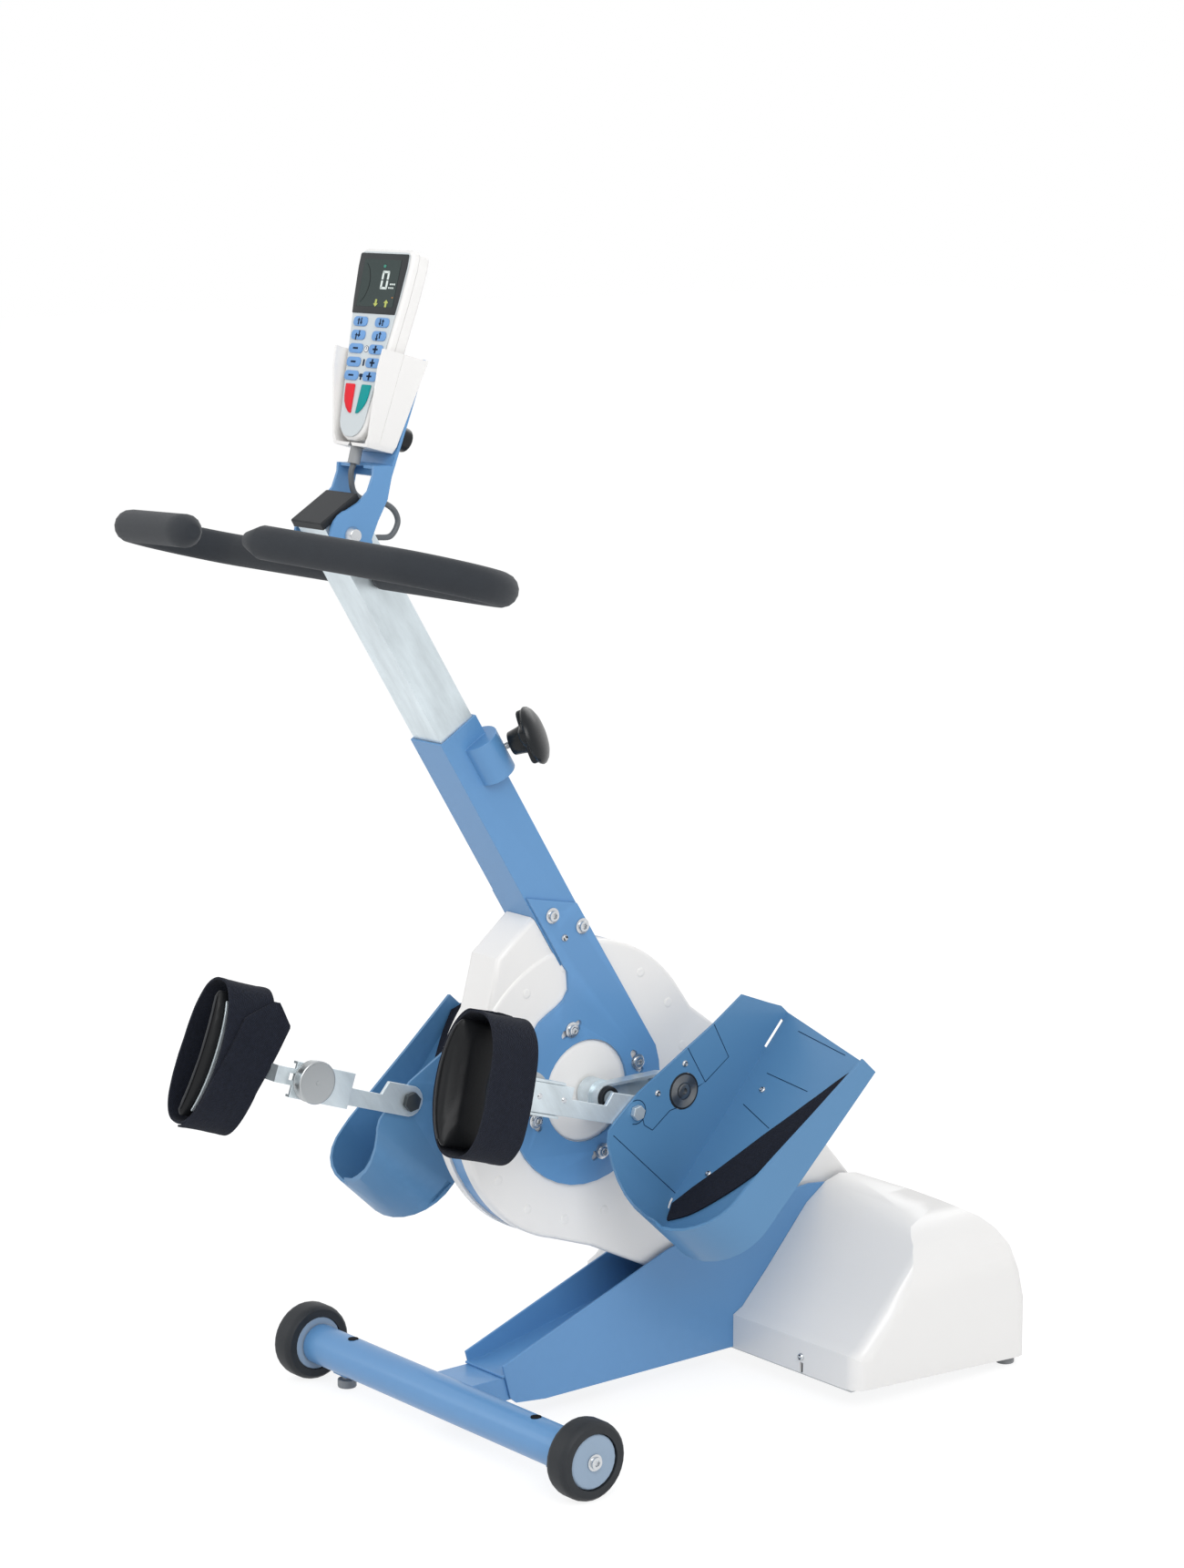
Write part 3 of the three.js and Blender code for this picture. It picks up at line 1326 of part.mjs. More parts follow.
const cheekRearShares = [[0.90, -0.20], [1.20, 0.45], [1.66, 1.25], [1.96, 2.50]];
const cheekFrontShares = [[1.03, 2.55], [1.0, 2.20], [0.76, 1.62], [0.32, 1.22], [-0.25, 0.95]];
function buildHead() {
  const [pivotY, pivotZ] = headPoint();
  const onLobe = ([across, up]) => [pivotY + across * bracketLobe, pivotZ + up * bracketLobe];
  const outline = [
    ...cheekRearShares.map(onLobe),
    ...cheekFrontShares.map(onLobe),
    ...arc(pivotY, pivotZ, bracketLobe, 112, 340, 14),
  ];
  const innerX = bracketHalfWidth - bracketSheet;
  const boltHole = circle(pivotY, pivotZ, bracketBoltRadius * half + seatGap, 12).reverse();
  const cheek = slab(outline, innerX, bracketHalfWidth, [boltHole]);
  const [plateY, plateZ] = onLobe(cheekRearShares[3]);
  const lean = radians(backPlateTilt);
  const along = [Math.sin(lean), Math.cos(lean)];
  const normal = [Math.cos(lean), -Math.sin(lean)];
  const corner = (up, back) => [
    plateY + along[0] * up + normal[0] * back,
    plateZ + along[1] * up + normal[1] * back,
  ];
  const plate = slab([
    corner(-bracketSheet * 4, -bracketSheet * half),
    corner(-bracketSheet * 4, bracketSheet * half),
    corner(backPlateLength, bracketSheet * half),
    corner(backPlateLength, -bracketSheet * half),
  ], -bracketHalfWidth, bracketHalfWidth);
  const web = slab([
    [pivotY + bracketLobe * 1.1, pivotZ + bracketLobe * 2.42],
    [plateY, pivotZ + bracketLobe * 2.42],
    [plateY, pivotZ + bracketLobe * 2.42 + bracketSheet],
    [pivotY + bracketLobe * 1.1, pivotZ + bracketLobe * 2.42 + bracketSheet],
  ], -innerX, innerX);
  const cableSpace = rod(
    plugRadius * 2,
    [0, pivotY + bracketLobe * 1.3, pivotZ + bracketLobe * 2],
    [0, pivotY + bracketLobe * 1.3, pivotZ + bracketLobe * 3],
    16,
  );
  const [knobY, knobZ] = corner(backPlateLength * 0.3, 0);
  const knobHole = rod(
    knobStudRadius + seatGap,
    [0, knobY - overrun, knobZ + overrun * Math.tan(lean)],
    [0, knobY + overrun, knobZ - overrun * Math.tan(lean)],
    12,
  );
  const bracket = cut(join(cheek, mirrored(cheek), plate, cut(web, cableSpace)), knobHole);
  add(trainer, 'handset_bracket', bracket, 'blue');

  const boltFace = bracketHalfWidth + seatGap;
  const pivotHead = rod(
    bracketBoltRadius,
    [boltFace, pivotY, pivotZ],
    [boltFace + boltHeadHeight, pivotY, pivotZ],
    16,
    bracketBoltRadius * 0.7,
  );
  const pivotShank = rod(
    bracketBoltRadius * half,
    [-boltFace - seatGap, pivotY, pivotZ],
    [boltFace + seatGap, pivotY, pivotZ],
    12,
  );
  add(trainer, 'bracket_bolt', join(pivotShank, pivotHead, mirrored(pivotHead)), 'steel');

  const knobFront = [knobY + normal[0] * bracketSheet, knobZ + normal[1] * bracketSheet];
  const knobAt = (back) => [0, knobFront[0] + normal[0] * back, knobFront[1] + normal[1] * back];
  const knob = rod(holderKnobRadius, knobAt(seatGap), knobAt(holderKnobLength), 20, holderKnobRadius * 0.9);
  const knobStud = rod(knobStudRadius, knobAt(-bracketSheet * 1.4), knobAt(seatGap * 2), 12);
  add(trainer, 'holder_knob', join(knob, knobStud), 'black');
  buildHandset();
}

function buildHandset() {
  const [pivotY, pivotZ] = headPoint();
  const base = [0, pivotY + handsetSeatBack, pivotZ + handsetSeatRise];
  const group = turned(trainer, base, -holderTilt);
  const mirrorLine = (points) => [...points, ...points.slice().reverse().map(([x, up]) => [-x, up])];
  const front = mirrorLine([
    ...arc(0, handsetChin, handsetChin, 285, 345, 3),
    [handsetChin * 1.06, handsetChin * 1.5],
    [handsetNeck, handsetNeckHeight],
    [handsetHalfWidth * 0.93, handsetShoulderHeight],
    [handsetHalfWidth, handsetLength - handsetRound * 2],
    ...arc(handsetHalfWidth - handsetRound, handsetLength - handsetRound, handsetRound, 20, 80, 2),
  ]);
  const stand = (geometry) => geometry.rotateX(Math.PI * half);
  add(group, 'handset_body', stand(prism(front, -handsetDepth, 0)), 'white');
  const face = stand(prism(inset(front, handsetRound * 0.35), seatGap, seatGap + faceThickness));
  add(group, 'handset_face', face, 'grey');

  const floorUp = seatGap * 3;
  const spread = (holderTopHalf - holderFootHalf) / holderHeight;
  const wallAt = (up, shrink) => [holderFootHalf + spread * up - shrink, up];
  const outline = mirrorLine([
    [holderFootHalf - holderWall, -holderWall - floorUp],
    wallAt(holderWall, 0),
    wallAt(holderHeight, 0),
  ]);
  const pocketLine = mirrorLine([
    [holderFootHalf - holderWall * 2, -floorUp],
    wallAt(holderWall * 2, holderWall),
    wallAt(holderHeight + overrun, holderWall),
  ]);
  const pocketBack = handsetDepth + floorUp;
  const shell = cut(
    stand(prism(outline, -holderTopDepth, holderLip)),
    stand(prism(pocketLine, -pocketBack, holderLip + overrun)),
    rod(plugRadius * 1.5, [0, handsetDepth * half, -overrun], [0, handsetDepth * half, overrun], 16),
    slab([
      [-holderLip * 2, -holderWall * 3],
      [holderWall, -holderWall * 3],
      [-holderLip, holderHeight * 0.8],
      [-holderLip * 2, holderHeight * 0.8],
    ], -holderTopHalf * 2, holderTopHalf * 2),
    slab([
      [holderFootDepth, -holderWall - floorUp],
      [holderTopDepth * 2, -holderWall * 2],
      [holderTopDepth * 2, holderHeight * 2],
      [holderTopDepth, holderHeight],
    ], -holderTopHalf * 2, holderTopHalf * 2),
  );
  add(group, 'handset_holder', shell, 'white');
  const cos = Math.cos(radians(holderTilt));
  const sin = Math.sin(radians(holderTilt));

  const plug = rod(
    plugRadius,
    [0, handsetDepth * half, -plugLength],
    [0, handsetDepth * half, -seatGap],
    14,
  );
  add(group, 'handset_plug', plug, 'grey');
  const plugEnd = [
    base[1] + handsetDepth * half * cos - (plugLength + seatGap) * sin,
    base[2] - handsetDepth * half * sin - (plugLength + seatGap) * cos,
  ];
  const tilt = radians(columnTilt);
  const entryDepth = outerTube + seatGap;
  const entry = [
    columnTopDepth + entryDepth * Math.cos(tilt) - cableEntryAlong * Math.sin(tilt),
    columnTopHeight + entryDepth * Math.sin(tilt) + cableEntryAlong * Math.cos(tilt),
  ];
  const route = [
    [0, plugEnd[0], plugEnd[1]],
    [0, plugEnd[0] - cableRadius, plugEnd[1] - cableRadius * 3],
    [0, pivotY + bracketLobe * 0.95, pivotZ + bracketLobe * 1.5],
    [0, pivotY + bracketLobe * 1.45, pivotZ + bracketLobe * 1.15],
    [0, pivotY + bracketLobe * 2.2, pivotZ + bracketLobe * 1.04],
    [0, pivotY + bracketLobe * 2.8, pivotZ + bracketLobe * 0.7],
    [0, pivotY + bracketLobe * 3, pivotZ + bracketLobe * 0.2],
    [0, pivotY + bracketLobe * 2.65, pivotZ - bracketLobe * 0.3],
    [0, entry[0] + cableRadius * 2.7, entry[1] + cableRadius],
    [0, entry[0], entry[1]],
  ];
  add(trainer, 'handset_cable', sweep(route, cableRadius, 6, 26), 'black');
}

buildCrossbar();
buildFrame();
buildDrum();
buildPlates();
buildHood();
buildDrive();
sides.forEach(([side, sign]) => buildFootSide(side, sign));
buildColumn();
buildMast();
buildHead();

// The origin is under the middle of the whole machine, on the floor
trainer.updateMatrixWorld(true);
const extent = new THREE.Box3().setFromObject(trainer, true);
const middle = extent.getCenter(new THREE.Vector3());
trainer.position.set(0, -middle.y, -extent.min.z);

export default trainer;
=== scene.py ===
"""Leg trainer for use from a chair: the looks, laid out as a Blender add-on.

Each operator dresses or models one group of the trainer's pieces, and the
panel in the 3D view's sidebar lists them. Lengths are in metres.
"""
import json
import math
from contextlib import contextmanager

import bmesh
import bpy
from bpy.props import FloatProperty, FloatVectorProperty, IntProperty, PointerProperty
from mathutils import Matrix, Vector, noise


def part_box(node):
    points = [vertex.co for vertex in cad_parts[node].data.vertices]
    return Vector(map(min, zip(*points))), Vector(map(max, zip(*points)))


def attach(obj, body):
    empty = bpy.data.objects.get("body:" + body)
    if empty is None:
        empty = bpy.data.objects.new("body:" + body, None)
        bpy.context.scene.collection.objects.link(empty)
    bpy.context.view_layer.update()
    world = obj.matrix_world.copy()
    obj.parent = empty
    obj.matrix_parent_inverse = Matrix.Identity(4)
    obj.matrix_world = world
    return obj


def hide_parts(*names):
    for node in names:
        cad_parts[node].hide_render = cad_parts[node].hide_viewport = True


bl_info = {
    "name": "Leg trainer",
    "version": (1, 0, 0),
    "blender": (4, 5, 0),
    "location": "3D View > Sidebar > Leg trainer",
    "description": "Dresses the leg trainer and sets up its studio",
    "category": "Object",
}

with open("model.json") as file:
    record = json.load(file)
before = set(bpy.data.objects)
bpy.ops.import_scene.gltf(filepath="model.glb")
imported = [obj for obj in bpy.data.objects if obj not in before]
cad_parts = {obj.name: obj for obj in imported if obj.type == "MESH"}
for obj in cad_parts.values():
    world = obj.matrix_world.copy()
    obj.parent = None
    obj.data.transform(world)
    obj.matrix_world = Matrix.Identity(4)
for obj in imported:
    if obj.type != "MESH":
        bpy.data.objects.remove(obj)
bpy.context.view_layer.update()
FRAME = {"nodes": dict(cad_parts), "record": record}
NODES = FRAME["nodes"]
BODY_OF = {node: body for body, nodes in FRAME["record"]["behaviour"]["bodies"].items() for node in nodes}
JOINTS = {joint["name"]: joint for joint in FRAME["record"]["behaviour"]["joints"]}
BAR_LOW, BAR_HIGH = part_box("crossbar")
BAR_Y = (BAR_LOW[1] + BAR_HIGH[1]) / 2
SIDES = (("right", 1), ("left", -1))

# Turned frames of the slanted groups, in radians and metres
COLUMN_TILT = math.radians(31.7)
GUIDE_TILT = {"right": math.radians(-17.2), "left": math.radians(-19)}
CUFF_LEAN = {"right": math.radians(-6), "left": math.radians(-5.5)}
CUFF_SEAT = {"right": 0.0887, "left": 0.1037}
CUFF_SLIDE = {"right": 0.0, "left": 0.017}
CUFF_DROP = {"right": 0.0025, "left": 0.0}
CUFF_MIDDLE = {"right": 0.1223, "left": 0.1299}
CUFF_HALF = {"right": (0.041, 0.0715), "left": (0.0335, 0.075)}

# Faces and sizes that more than one form needs
DRUM_RADIUS = 0.155
SHELL_INNER_FACE, SHELL_DEPTH = 0.0108, 0.0142
NOSE_HALF = 0.0232
SIDE_PLATE_FACE = 0.0288
HOOD_FRONT = BAR_Y + 0.363
WALL_FACE, WALL = 0.0895, 0.003
GUIDE_FACE = 0.0848
KNOB_REACH = 0.0395
KEYPAD_LEVEL = 0.0015
KEY_HEIGHT = 0.0013
PRINT_DEPTH = 0.00012
LEAD_RADIUS = 0.0029
FLOOR_GLOW = 1.17


def shift(x, y, z):
    return Matrix.Translation((x, y, z))


def turned(angle, axis):
    return Matrix.Rotation(angle, 4, axis)


def mirror_for(sign):
    return Matrix.Diagonal((sign, 1, 1, 1))


UPRIGHT_TO_X = turned(math.pi / 2, "Y")
COLUMN = shift(0, BAR_Y - 0.01399, 0.70883) @ turned(COLUMN_TILT, "X")
PIVOT = Vector(JOINTS["head_tilt"]["pos_m"])
HEAD = shift(*(PIVOT + Vector((0, 0.019, 0.086)))) @ turned(math.radians(-15), "X")
SIDE_VIEW = Matrix(((0, 0, 1, 0), (1, 0, 0, 0), (0, 1, 0, 0), (0, 0, 0, 1)))
HUB = Vector(JOINTS["crank_spin"]["pos_m"])


def foot_frame(side, sign):
    """Frame of a foot shell: out from the wall's inner face, along the sole, and up from it"""
    pedal = Vector(JOINTS[f"pedal_{side}_pivot"]["pos_m"])
    base = shift(0, pedal.y, pedal.z) @ turned(math.radians(47.5), "X")
    return base @ mirror_for(sign) @ shift(WALL_FACE, -0.085, -0.064)


def guide_frame(side, sign):
    pivot = Vector(JOINTS[f"guide_{side}_pivot"]["pos_m"])
    return shift(0, pivot.y, pivot.z) @ turned(GUIDE_TILT[side], "X") @ mirror_for(sign)


def cuff_frame(side, sign):
    """Frame of a calf cuff: across the leg, along it, and up, from the middle of the cuff's width"""
    seat = shift(CUFF_SEAT[side], CUFF_SLIDE[side], 0)
    inside = shift(-CUFF_SEAT[side], -0.226, -CUFF_DROP[side])
    return guide_frame(side, sign) @ seat @ turned(CUFF_LEAN[side], "Y") @ inside


def paint_setting(name, description, default):
    return FloatVectorProperty(name=name, description=description, subtype="COLOR", default=default,
                               min=0, max=1)


def length_setting(name, description, default, low, high):
    return FloatProperty(name=name, description=description, subtype="DISTANCE", unit="LENGTH",
                         default=default, min=low, max=high)


class TrainerColours(bpy.types.PropertyGroup):
    """Colours of the trainer's finishes"""

    enamel: paint_setting("Blue enamel", "Paint of the frame and the column", (0.108, 0.279, 0.535))
    shell: paint_setting("Foot shell blue", "Moulded foot shells", (0.088, 0.232, 0.425))
    casing: paint_setting("White casing", "Drum housing, hood and handset", (0.835, 0.825, 0.81))
    webbing: paint_setting("Navy webbing", "Straps of feet and calves", (0.014, 0.017, 0.028))
    foam: paint_setting("Grip foam", "Foam of the handlebar", (0.028, 0.032, 0.038))
    key: paint_setting("Key blue", "Blue keys of the handset", (0.15, 0.33, 0.64))


class TrainerSizes(bpy.types.PropertyGroup):
    """Sizes of the trainer's details"""

    edge: length_setting("Edge radius", "Rounding of pressed and moulded edges", 0.0008, 0.0001, 0.003)
    grip: length_setting("Grip radius", "Radius of the foam grip", 0.0159, 0.01, 0.025)
    key_gap: length_setting("Key pitch", "Distance between rows of keys", 0.01295, 0.01, 0.02)
    seam: length_setting("Seam width", "Width of the moulded joint lines", 0.0009, 0.0003, 0.002)
    lobes: IntProperty(name="Knob lobes", description="Lobes of the clamping knob", default=5, min=3, max=9)


def colours():
    return bpy.context.scene.trainer_colours


def sizes():
    return bpy.context.scene.trainer_sizes


# Each finish: a colour or the name of a colour setting, the CAD's paint that it stands for, and its values
FINISHES = {
    "Blue enamel": ("enamel", "blue_paint", dict(
        roughness=0.42, coat=0.25, wear=0.5, patchiness=0.05, relief=0.00006, relief_scale=900)),
    "Foot shell plastic": ("shell", "shell_blue", dict(
        roughness=0.42, wear=0.6, relief=0.00005, relief_scale=1300, coat=0.08)),
    "White casing": ("casing", "white_gloss", dict(
        roughness=0.34, wear=0, patchiness=0.02, roughness_spread=0.06, relief=0.00003, relief_scale=500,
        coat=0.15)),
    "Galvanised zinc": ((0.66, 0.735, 0.77), "zinc", dict(
        roughness=0.33, metallic=0.62, patchiness=0.05, relief=0.000015)),
    "Bright steel": ((0.62, 0.64, 0.66), "steel", dict(
        roughness=0.26, metallic=1.0, wear=0.4, relief=0.00001, relief_scale=300)),
    "Bearing steel": ((0.17, 0.18, 0.19), "steel", dict(roughness=0.3, metallic=0.85, patchiness=0.2)),
    "Blackened steel": ((0.075, 0.085, 0.09), "steel", dict(
        roughness=0.3, metallic=0.8, patchiness=0.3, wear=0.4, worn=(0.3, 0.31, 0.32))),
    "Turned steel": ((0.46, 0.48, 0.49), "steel", dict(roughness=0.36, metallic=0.9, patchiness=0.1)),
    "Black plastic": ((0.014, 0.016, 0.019), "black_plastic", dict(
        roughness=0.45, worn=(0.06, 0.065, 0.07), relief=0.00005, relief_scale=1500, specular=0.25)),
    "Polished black": ((0.007, 0.009, 0.011), "black_plastic", dict(
        roughness=0.28, wear=0.2, relief=0.00002, specular=0.28)),
    "Shaded recess": ((0.006, 0.007, 0.009), "black_plastic", dict(roughness=0.8, wear=0, specular=0.1)),
    "Cable jacket": ((0.11, 0.12, 0.13), "black_plastic", dict(wear=0.1, relief=0.00003, relief_scale=900)),
    "Grip foam": ("foam", None, dict(
        roughness=0.82, wear=0.2, patchiness=0.25, patch_scale=60, relief=0.00025, relief_scale=900, sheen=0.1,
        specular=0.22)),
    "Tyre rubber": ((0.018, 0.021, 0.025), None, dict(
        roughness=0.55, wear=0.5, worn=(0.07, 0.075, 0.08), patchiness=0.2, relief=0.00006, specular=0.3)),
    "Hub plastic": ((0.27, 0.36, 0.47), None, dict(roughness=0.4, patchiness=0.06)),
    "Navy webbing": ("webbing", "cloth", dict(
        roughness=0.92, wear=0.15, patchiness=0.9, patch_scale=260, relief=0.0006, relief_scale=620, weave=330,
        sheen=0.06, specular=0.12)),
    "Pad cover": ((0.0075, 0.0082, 0.0095), "foam", dict(
        roughness=0.42, worn=(0.02, 0.022, 0.025), patchiness=0.3, patch_scale=30, relief=0.00012,
        relief_scale=420, specular=0.22)),
    "Pad stitching": ((0.022, 0.024, 0.028), "foam", dict(
        roughness=0.7, wear=0.2, relief=0.0002, relief_scale=900)),
    "Grey plastic": ((0.27, 0.28, 0.29), "grey_plastic", dict(wear=0.2)),
    "Handset panel": ((0.57, 0.62, 0.64), "grey_plastic", dict(roughness=0.42, wear=0, patchiness=0.02)),
    "Seam shadow": ((0.012, 0.035, 0.085), "shell_blue", dict(roughness=0.8, wear=0, specular=0.1)),
    "Display surround": ((0.028, 0.032, 0.034), None, dict(roughness=0.32, wear=0, specular=0.15)),
    "Display glass": ((0.010, 0.027, 0.025), None, dict(roughness=0.2, wear=0, specular=0.2)),
    "Display edge": ((0.003, 0.008, 0.008), None, dict(roughness=0.4, wear=0, specular=0.1)),
    "Display figures": ((0.70, 0.78, 0.75), None, dict(wear=0)),
    "Display arrows": ((0.46, 0.50, 0.10), None, dict(wear=0)),
    "Display lamp": ((0.01, 0.22, 0.15), None, dict(wear=0)),
    "Display tick": ((0.45, 0.16, 0.02), None, dict(wear=0)),
    "Blue key": ("key", None, dict(wear=0, patchiness=0.04, specular=0.3)),
    "Key mark": ((0.010, 0.022, 0.05), None, dict(roughness=0.6, wear=0, specular=0.1)),
    "Keypad ring": ((0.75, 0.76, 0.77), None, dict(roughness=0.6, wear=0, specular=0.1)),
    "Red key": ((0.74, 0.018, 0.032), None, dict(wear=0, specular=0.15)),
    "Green key": ((0.001, 0.29, 0.29), None, dict(wear=0, specular=0.15)),
}
SURFACE_VALUES = {
    "wear": 0.3, "patchiness": 0.08, "patch_scale": 9.0, "roughness": 0.5, "roughness_spread": 0.1,
    "relief": 0.00004, "relief_scale": 700.0,
}


def group_socket(tree, name, kind, direction="INPUT", default=None):
    socket = tree.interface.new_socket(name=name, in_out=direction, socket_type=f"NodeSocket{kind}")
    if default is not None:
        socket.default_value = default


def add_node(tree, kind, inputs=None, **settings):
    """A node with its settings, its inputs' values, and a link for each input given as a socket"""
    node = tree.nodes.new(kind)
    for name, value in settings.items():
        setattr(node, name, value)
    for key, value in (inputs or {}).items():
        if isinstance(value, bpy.types.NodeSocket):
            tree.links.new(value, node.inputs[key])
        else:
            node.inputs[key].default_value = value
    return node


def maths(tree, operation, *terms, clamp=False):
    node = add_node(tree, "ShaderNodeMath", dict(enumerate(terms)), operation=operation, use_clamp=clamp)
    return node.outputs[0]


def scaled_tone(tree, colour, value):
    return add_node(tree, "ShaderNodeHueSaturation", {"Color": colour, "Value": value}).outputs["Color"]


def surface_group():
    """Uneven colour, uneven gloss, worn edges and a fine relief, shared by every finish"""
    tree = bpy.data.node_groups.new("Uneven surface", "ShaderNodeTree")
    for name in ("Colour", "Worn colour"):
        group_socket(tree, name, "Color", default=(0.5, 0.5, 0.5, 1))
    for key, value in SURFACE_VALUES.items():
        group_socket(tree, socket_name(key), "Float", default=value)
    for name, kind in (("Colour", "Color"), ("Roughness", "Float"), ("Normal", "Vector")):
        group_socket(tree, name, kind, "OUTPUT")
    given = tree.nodes.new("NodeGroupInput").outputs
    place = add_node(tree, "ShaderNodeTexCoord").outputs["Object"]
    patches = add_node(tree, "ShaderNodeTexNoise",
                       {"Detail": 4, "Vector": place, "Scale": given["Patch scale"]})
    centred = maths(tree, "SUBTRACT", patches.outputs["Fac"], 0.5)
    shade = maths(tree, "MULTIPLY_ADD", centred, given["Patchiness"], 1.0)
    shape = add_node(tree, "ShaderNodeNewGeometry")
    edge = add_node(tree, "ShaderNodeMapRange",
                    {"From Min": 0.53, "From Max": 0.62, "Value": shape.outputs["Pointiness"]})
    scratch = add_node(tree, "ShaderNodeTexNoise", {"Scale": 90, "Vector": place})
    broken = maths(tree, "MULTIPLY", edge.outputs["Result"], scratch.outputs["Fac"])
    worn = maths(tree, "MULTIPLY", broken, given["Wear"], clamp=True)
    tone = scaled_tone(tree, given["Colour"], shade)
    blend = add_node(tree, "ShaderNodeMix", {"Factor": worn, "A": tone, "B": given["Worn colour"]},
                     data_type="RGBA")
    gloss = maths(tree, "MULTIPLY_ADD", centred, given["Roughness spread"], given["Roughness"])
    grain = add_node(tree, "ShaderNodeTexNoise",
                     {"Detail": 3, "Vector": place, "Scale": given["Relief scale"]})
    bump = add_node(tree, "ShaderNodeBump",
                    {"Strength": 1.0, "Distance": given["Relief"], "Height": grain.outputs["Fac"]})
    add_node(tree, "NodeGroupOutput",
             {"Colour": blend.outputs["Result"], "Roughness": gloss, "Normal": bump.outputs["Normal"]})


def weave_group():
    """Crossing ribs of woven cloth, as a height and as a darkening of the colour"""
    tree = bpy.data.node_groups.new("Woven ribs", "ShaderNodeTree")
    group_socket(tree, "Colour", "Color", default=(0.1, 0.1, 0.1, 1))
    group_socket(tree, "Thread scale", "Float", default=300.0)
    group_socket(tree, "Depth", "Float", default=0.0002)
    group_socket(tree, "Normal", "Vector")
    group_socket(tree, "Colour", "Color", "OUTPUT")
    group_socket(tree, "Normal", "Vector", "OUTPUT")
    given = tree.nodes.new("NodeGroupInput").outputs
    place = add_node(tree, "ShaderNodeTexCoord").outputs["Object"]
    ribs = []
    for turn in (0.6, -0.9):
        mapping = add_node(tree, "ShaderNodeMapping", {"Rotation": (turn, turn * 0.7, turn), "Vector": place})
        wave = add_node(tree, "ShaderNodeTexWave", {
            "Distortion": 0.6, "Vector": mapping.outputs["Vector"], "Scale": given["Thread scale"]})
        ribs.append(wave.outputs["Fac"])
    both = maths(tree, "MULTIPLY", *ribs)
    bump = add_node(tree, "ShaderNodeBump",
                    {"Distance": given["Depth"], "Height": both, "Normal": given["Normal"]})
    shade = add_node(tree, "ShaderNodeMapRange", {"To Min": 0.6, "To Max": 1.5, "Value": both})
    tone = scaled_tone(tree, given["Colour"], shade.outputs["Result"])
    add_node(tree, "NodeGroupOutput", {"Colour": tone, "Normal": bump.outputs["Normal"]})


def zinc_clouds(tree, colour):
    """Clouds of a zinc coat, drawn out along the column"""
    place = add_node(tree, "ShaderNodeTexCoord").outputs["Object"]
    drawn = add_node(tree, "ShaderNodeMapping",
                     {"Rotation": (COLUMN_TILT, 0, 0), "Scale": (1, 1, 4), "Vector": place},
                     vector_type="TEXTURE")
    clouds = add_node(tree, "ShaderNodeTexNoise",
                      {"Scale": 55, "Detail": 7, "Roughness": 0.65, "Vector": drawn.outputs["Vector"]})
    shade = add_node(tree, "ShaderNodeMapRange", {
        "From Min": 0.3, "From Max": 0.7, "To Min": 0.86, "To Max": 1.12, "Value": clouds.outputs["Fac"]})
    return scaled_tone(tree, colour, shade.outputs["Result"])


def socket_name(key):
    return key.replace("_", " ").capitalize()


def finish(name):
    """A named finish: a Principled shader fed by the shared surface group, with its own values"""
    if name in bpy.data.materials:
        return bpy.data.materials[name]
    colour, _, values = FINISHES[name]
    if isinstance(colour, str):
        colour = tuple(getattr(colours(), colour))
    material = bpy.data.materials.new(name)
    material.use_nodes = True
    tree = material.node_tree
    pale = tuple(min(1, channel * 1.25 + 0.02) for channel in colour)
    inputs = {"Colour": (*colour, 1), "Worn colour": (*values.get("worn", pale), 1)}
    inputs |= {socket_name(key): values.get(key, usual) for key, usual in SURFACE_VALUES.items()}
    surface = add_node(tree, "ShaderNodeGroup", inputs,
                       node_tree=bpy.data.node_groups["Uneven surface"]).outputs
    shown, normal = surface["Colour"], surface["Normal"]
    if "weave" in values:
        cloth = add_node(tree, "ShaderNodeGroup",
                         {"Thread scale": values["weave"], "Colour": shown, "Normal": normal},
                         node_tree=bpy.data.node_groups["Woven ribs"]).outputs
        shown, normal = cloth["Colour"], cloth["Normal"]
    if name == "Galvanised zinc":
        shown = zinc_clouds(tree, shown)
    shader = tree.nodes["Principled BSDF"].inputs
    for socket, key, usual in (("Metallic", "metallic", 0), ("Coat Weight", "coat", 0),
                               ("Sheen Weight", "sheen", 0), ("Specular IOR Level", "specular", 0.5)):
        shader[socket].default_value = values.get(key, usual)
    shader["Coat Roughness"].default_value = 0.12
    for socket, source in (("Base Color", shown), ("Roughness", surface["Roughness"]), ("Normal", normal)):
        tree.links.new(source, shader[socket])
    return material


# Modelling helpers


def only(piece):
    bpy.ops.object.select_all(action="DESELECT")
    piece.select_set(True)
    bpy.context.view_layer.objects.active = piece


def linked(piece):
    bpy.context.scene.collection.objects.link(piece)
    only(piece)
    return piece


@contextmanager
def editing(piece):
    """Edit mode, with all of a piece's mesh selected"""
    only(piece)
    bpy.ops.object.mode_set(mode="EDIT")
    bpy.ops.mesh.select_all(action="SELECT")
    yield
    bpy.ops.object.mode_set(mode="OBJECT")


def named(piece, name, finish_name, body):
    piece.name = name
    piece.data.name = name
    piece.data.materials.clear()
    piece.data.materials.append(finish(finish_name))
    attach(piece, body)
    return piece


def apply_modifier(piece, kind, **values):
    only(piece)
    modifier = piece.modifiers.new(kind.title(), kind)
    for key, value in values.items():
        setattr(modifier, key, value)
    bpy.ops.object.modifier_apply(modifier=modifier.name)


def smooth(piece, degrees=35):
    only(piece)
    bpy.ops.object.shade_smooth_by_angle(angle=math.radians(degrees))


def round_edges(piece, width, segments=2, degrees=38):
    if width:
        apply_modifier(piece, "BEVEL", width=width, segments=segments, limit_method="ANGLE",
                       angle_limit=math.radians(degrees), use_clamp_overlap=True)
    smooth(piece)


